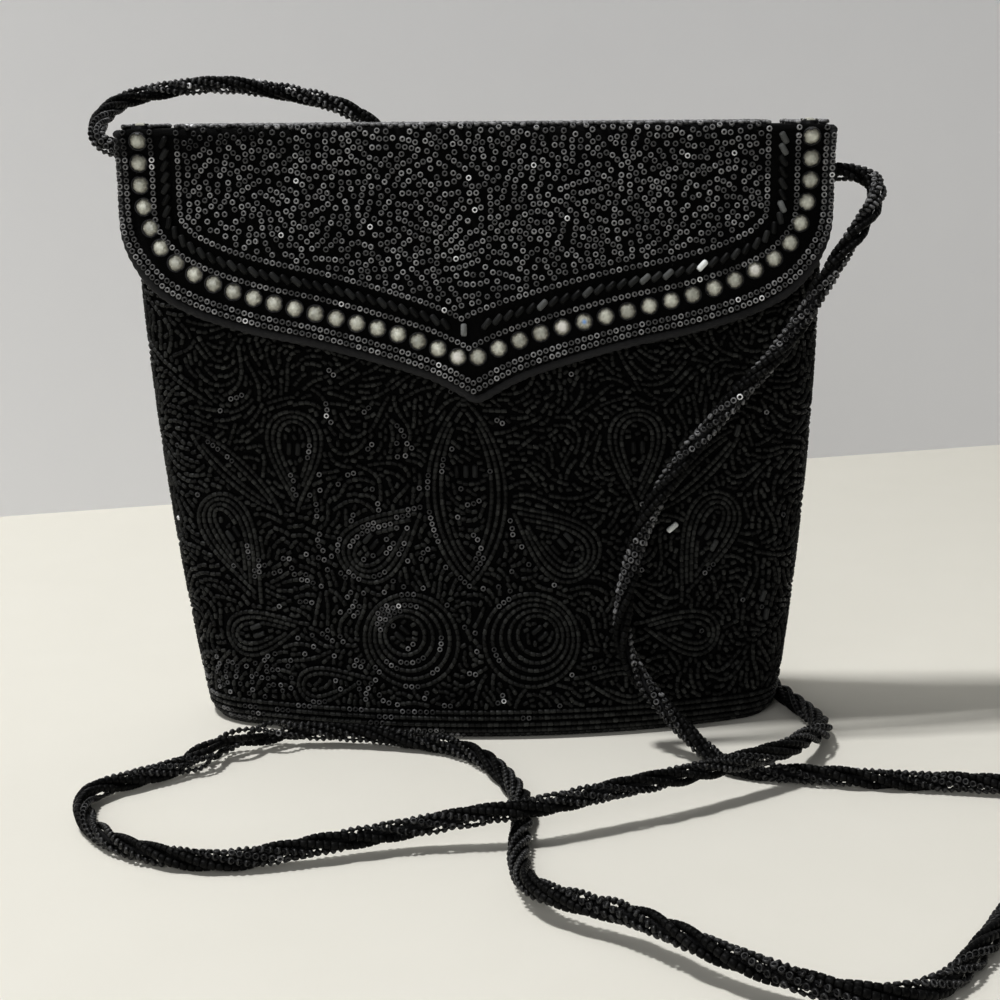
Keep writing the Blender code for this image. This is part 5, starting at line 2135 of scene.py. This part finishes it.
@dataclass
class Rhinestones:
    """The row of pale stones along the flap, each in its cup."""

    flap: FlapShape
    pitch: float = 0.0057
    diameter: float = 0.0044
    height: float = 0.0016
    cup_wall: float = 0.0002
    cup_height: float = 0.0009
    cup_play: float = 0.00002
    cup_steps: int = 16
    prong_height: float = 0.0004
    facets: int = 10
    fold_stones: int = 2
    fold_room: float = 0.0015
    cream: Colour = (0.82, 0.83, 0.72)
    grey: Colour = (0.46, 0.47, 0.41)
    blue: Colour = (0.20, 0.45, 1.0)
    white: Colour = (1.0, 0.98, 0.92)
    middle_tone: float = 1.1
    rim_shade: float = 0.55
    facet_shade: float = 0.40
    facet_start: float = 0.6
    mottle: tuple[float, float] = (0.65, 1.2)
    tint_seed: int = 12
    spin_seed: int = 13

    def places(self) -> Array:
        """Returns the stones' places, first the right ones from the point outwards, then the left ones."""
        curve = self.flap.route(self.flap.stone_corner, self.flap.stone_sweep)[::-1]
        count = int(run_lengths(curve)[-1] / self.pitch + 0.5) + self.fold_stones
        curve = np.vstack((curve, (curve[-1, 0], self.flap.strip_end)))
        right = points_at(curve, (np.arange(count) + 0.5) * self.pitch)
        right[right[:, 1] > self.flap.strip_start, 1] += self.fold_room
        return self.flap.shifted(np.vstack((right, right * (-1, 1))), self.flap.stone_shift)

    def stone(self) -> BMesh:
        """Cuts one stone: a faceted dome with its table up, on Z."""
        radius = self.diameter / 2
        # The last number of each profile point is where the painted streak shade falls.
        profile = ((0.0, self.height, 0.1), (0.42 * radius, 0.96 * self.height, 0.5),
                   (0.78 * radius, 0.66 * self.height, 1.0), (radius, 0.28 * self.height, 0.7),
                   (radius, 0.0, 0.2))
        return spun(profile, self.facets, False, "streak_shade")

    def cup(self) -> BMesh:
        """Presses one cup: a ring round the stone with four prongs over its edge."""
        inside = self.diameter / 2 + self.cup_play
        outside = inside + self.cup_wall
        profile = ((inside, 0.0), (outside, 0.0), (outside, self.cup_height), (inside, self.cup_height))
        bm = spun(profile, self.cup_steps, True)
        tops = [face for face in bm.faces if face.calc_center_median().z > self.cup_height * 0.99]
        prongs = bmesh.ops.extrude_discrete_faces(bm, faces=tops[::self.cup_steps // 4])["faces"]
        for face in prongs:
            middle = face.calc_center_median()
            inwards = Vector((-middle.x, -middle.y, 0)).normalized() * self.cup_wall
            bmesh.ops.translate(bm, vec=inwards + Vector((0, 0, self.prong_height)), verts=face.verts)
        bmesh.ops.recalc_face_normals(bm, faces=bm.faces)
        return bm

    def tints_and_light(self, count: int, shape: Array) -> Array:
        """Draws the stones' colours: a tint from cream to grey, with painted shade on the rims and on every
        other outer facet, a painted highlight in the middle, and a painted flash in a few tables.

        Args:
            count: How many stones.
            shape: The points of one stone.

        Returns:
            A colour for each point of each stone.
        """
        reach = np.hypot(shape[:, 0], shape[:, 1]) / (self.diameter / 2)
        side = np.arctan2(shape[:, 1], shape[:, 0]) * self.facets / tau
        # Painted shade and highlight: the middle is brighter, the rim and every other outer facet darker.
        facet = (np.rint(side) % 2) * (reach > self.facet_start)
        shade = (self.middle_tone - self.rim_shade * reach ** 2) * (1 - self.facet_shade * facet)
        chance = np.random.default_rng(self.tint_seed)
        share = chance.random((count, 1))
        tints_and_light = np.array(self.cream) * share + np.array(self.grey) * (1 - share)
        mottle = chance.uniform(*self.mottle, (count, len(shape), 1))
        tints_and_light = np.clip(tints_and_light[:, None, :] * shade[None, :, None] * mottle, 0, 1)
        # Painted highlights: white flashes, and a blue one, in a few tables.
        flashes = ((4, self.white, 0.5), (5, self.blue, 0.2), (13, self.white, 0.5),
                   (count // 2, self.white, 0.5))
        for number, flash, table in flashes:
            tints_and_light[number, reach < table] = flash
        return tints_and_light

    def build(self, shop: Workshop) -> None:
        """Builds the stones and their cups, on the flap's front and on its strip."""
        places = self.places()
        stone, cup = mesh_from(self.stone(), "stone", False), mesh_from(self.cup(), "cup", False)
        tints_and_light = self.tints_and_light(len(places), np.array([vert.co for vert in stone.vertices]))
        on_front = places[:, 1] < self.flap.fold_height + self.flap.radius / 2
        for body, wanted in ((Body.FLAP_FRONT, on_front), (Body.FLAP_TOP, ~on_front)):
            end = "" if body is Body.FLAP_FRONT else "_on_strip"
            nodes = ["rhinestone_chain"] if body is Body.FLAP_FRONT else []
            mesh = self.copies(stone, places[wanted])
            colours = np.concatenate((tints_and_light[wanted], np.ones((*tints_and_light[wanted].shape[:2], 1))), axis=2)
            tint_and_light = mesh.attributes.new("tint_and_light", "FLOAT_COLOR", "POINT")
            tint_and_light.data.foreach_set("color", colours.astype(np.float32).ravel())
            shop.piece(f"rhinestones{end}", mesh, STONE, Slot.STONE, body, nodes)
            shop.piece(f"stone_cups{end}", self.copies(cup, places[wanted]), CUP, Slot.STONE, body)

    def copies(self, model: Mesh, places: Array) -> Mesh:
        """Sets copies of a stone or a cup on the flap's cloth, each turned its own way.

        Args:
            model: The mesh to copy.
            places: Place across and length up the cloth of each copy.

        Returns:
            The mesh of all the copies.
        """
        points, along, _, normal = surface_frame(self.flap.cloth, places[:, 0], places[:, 1])
        spins = np.random.default_rng(self.spin_seed).uniform(0, tau, (len(places), 1))
        side = np.cross(normal, along)
        turned = np.stack((along * np.cos(spins) + side * np.sin(spins),
                           side * np.cos(spins) - along * np.sin(spins), normal), axis=2)
        return copies_of(model, turned, points)


def dress_hidden_parts(shop: Workshop) -> None:
    """Finishes the nodes whose own solids stay: the stiffening and the snap."""
    for node in ("front_stiffener", "back_stiffener", "base_board", "flap_stiffener", "flap_top_stiffener"):
        shop.dress_node(node, BUCKRAM)
    for node in ("snap_socket", "snap_stud", "snap_socket_washer", "snap_stud_washer"):
        shop.dress_node(node, NICKEL)


def main() -> None:
    """Builds the studio, the strap, the bag and the flap in order."""
    logging.basicConfig(level=logging.INFO, format="%(message)s")
    shop = Workshop()
    body = BodyShape()
    flap = FlapShape(body)
    Studio().build(shop)
    Strap(body).build(shop)
    BagBody(body).build(shop)
    BodyBeading(body).build(shop)
    cloth = FlapCloth(flap)
    cloth.build(shop)
    FlapBeading(flap).build(shop, cloth)
    Rhinestones(flap).build(shop)
    dress_hidden_parts(shop)


if __name__ == "__main__":
    main()
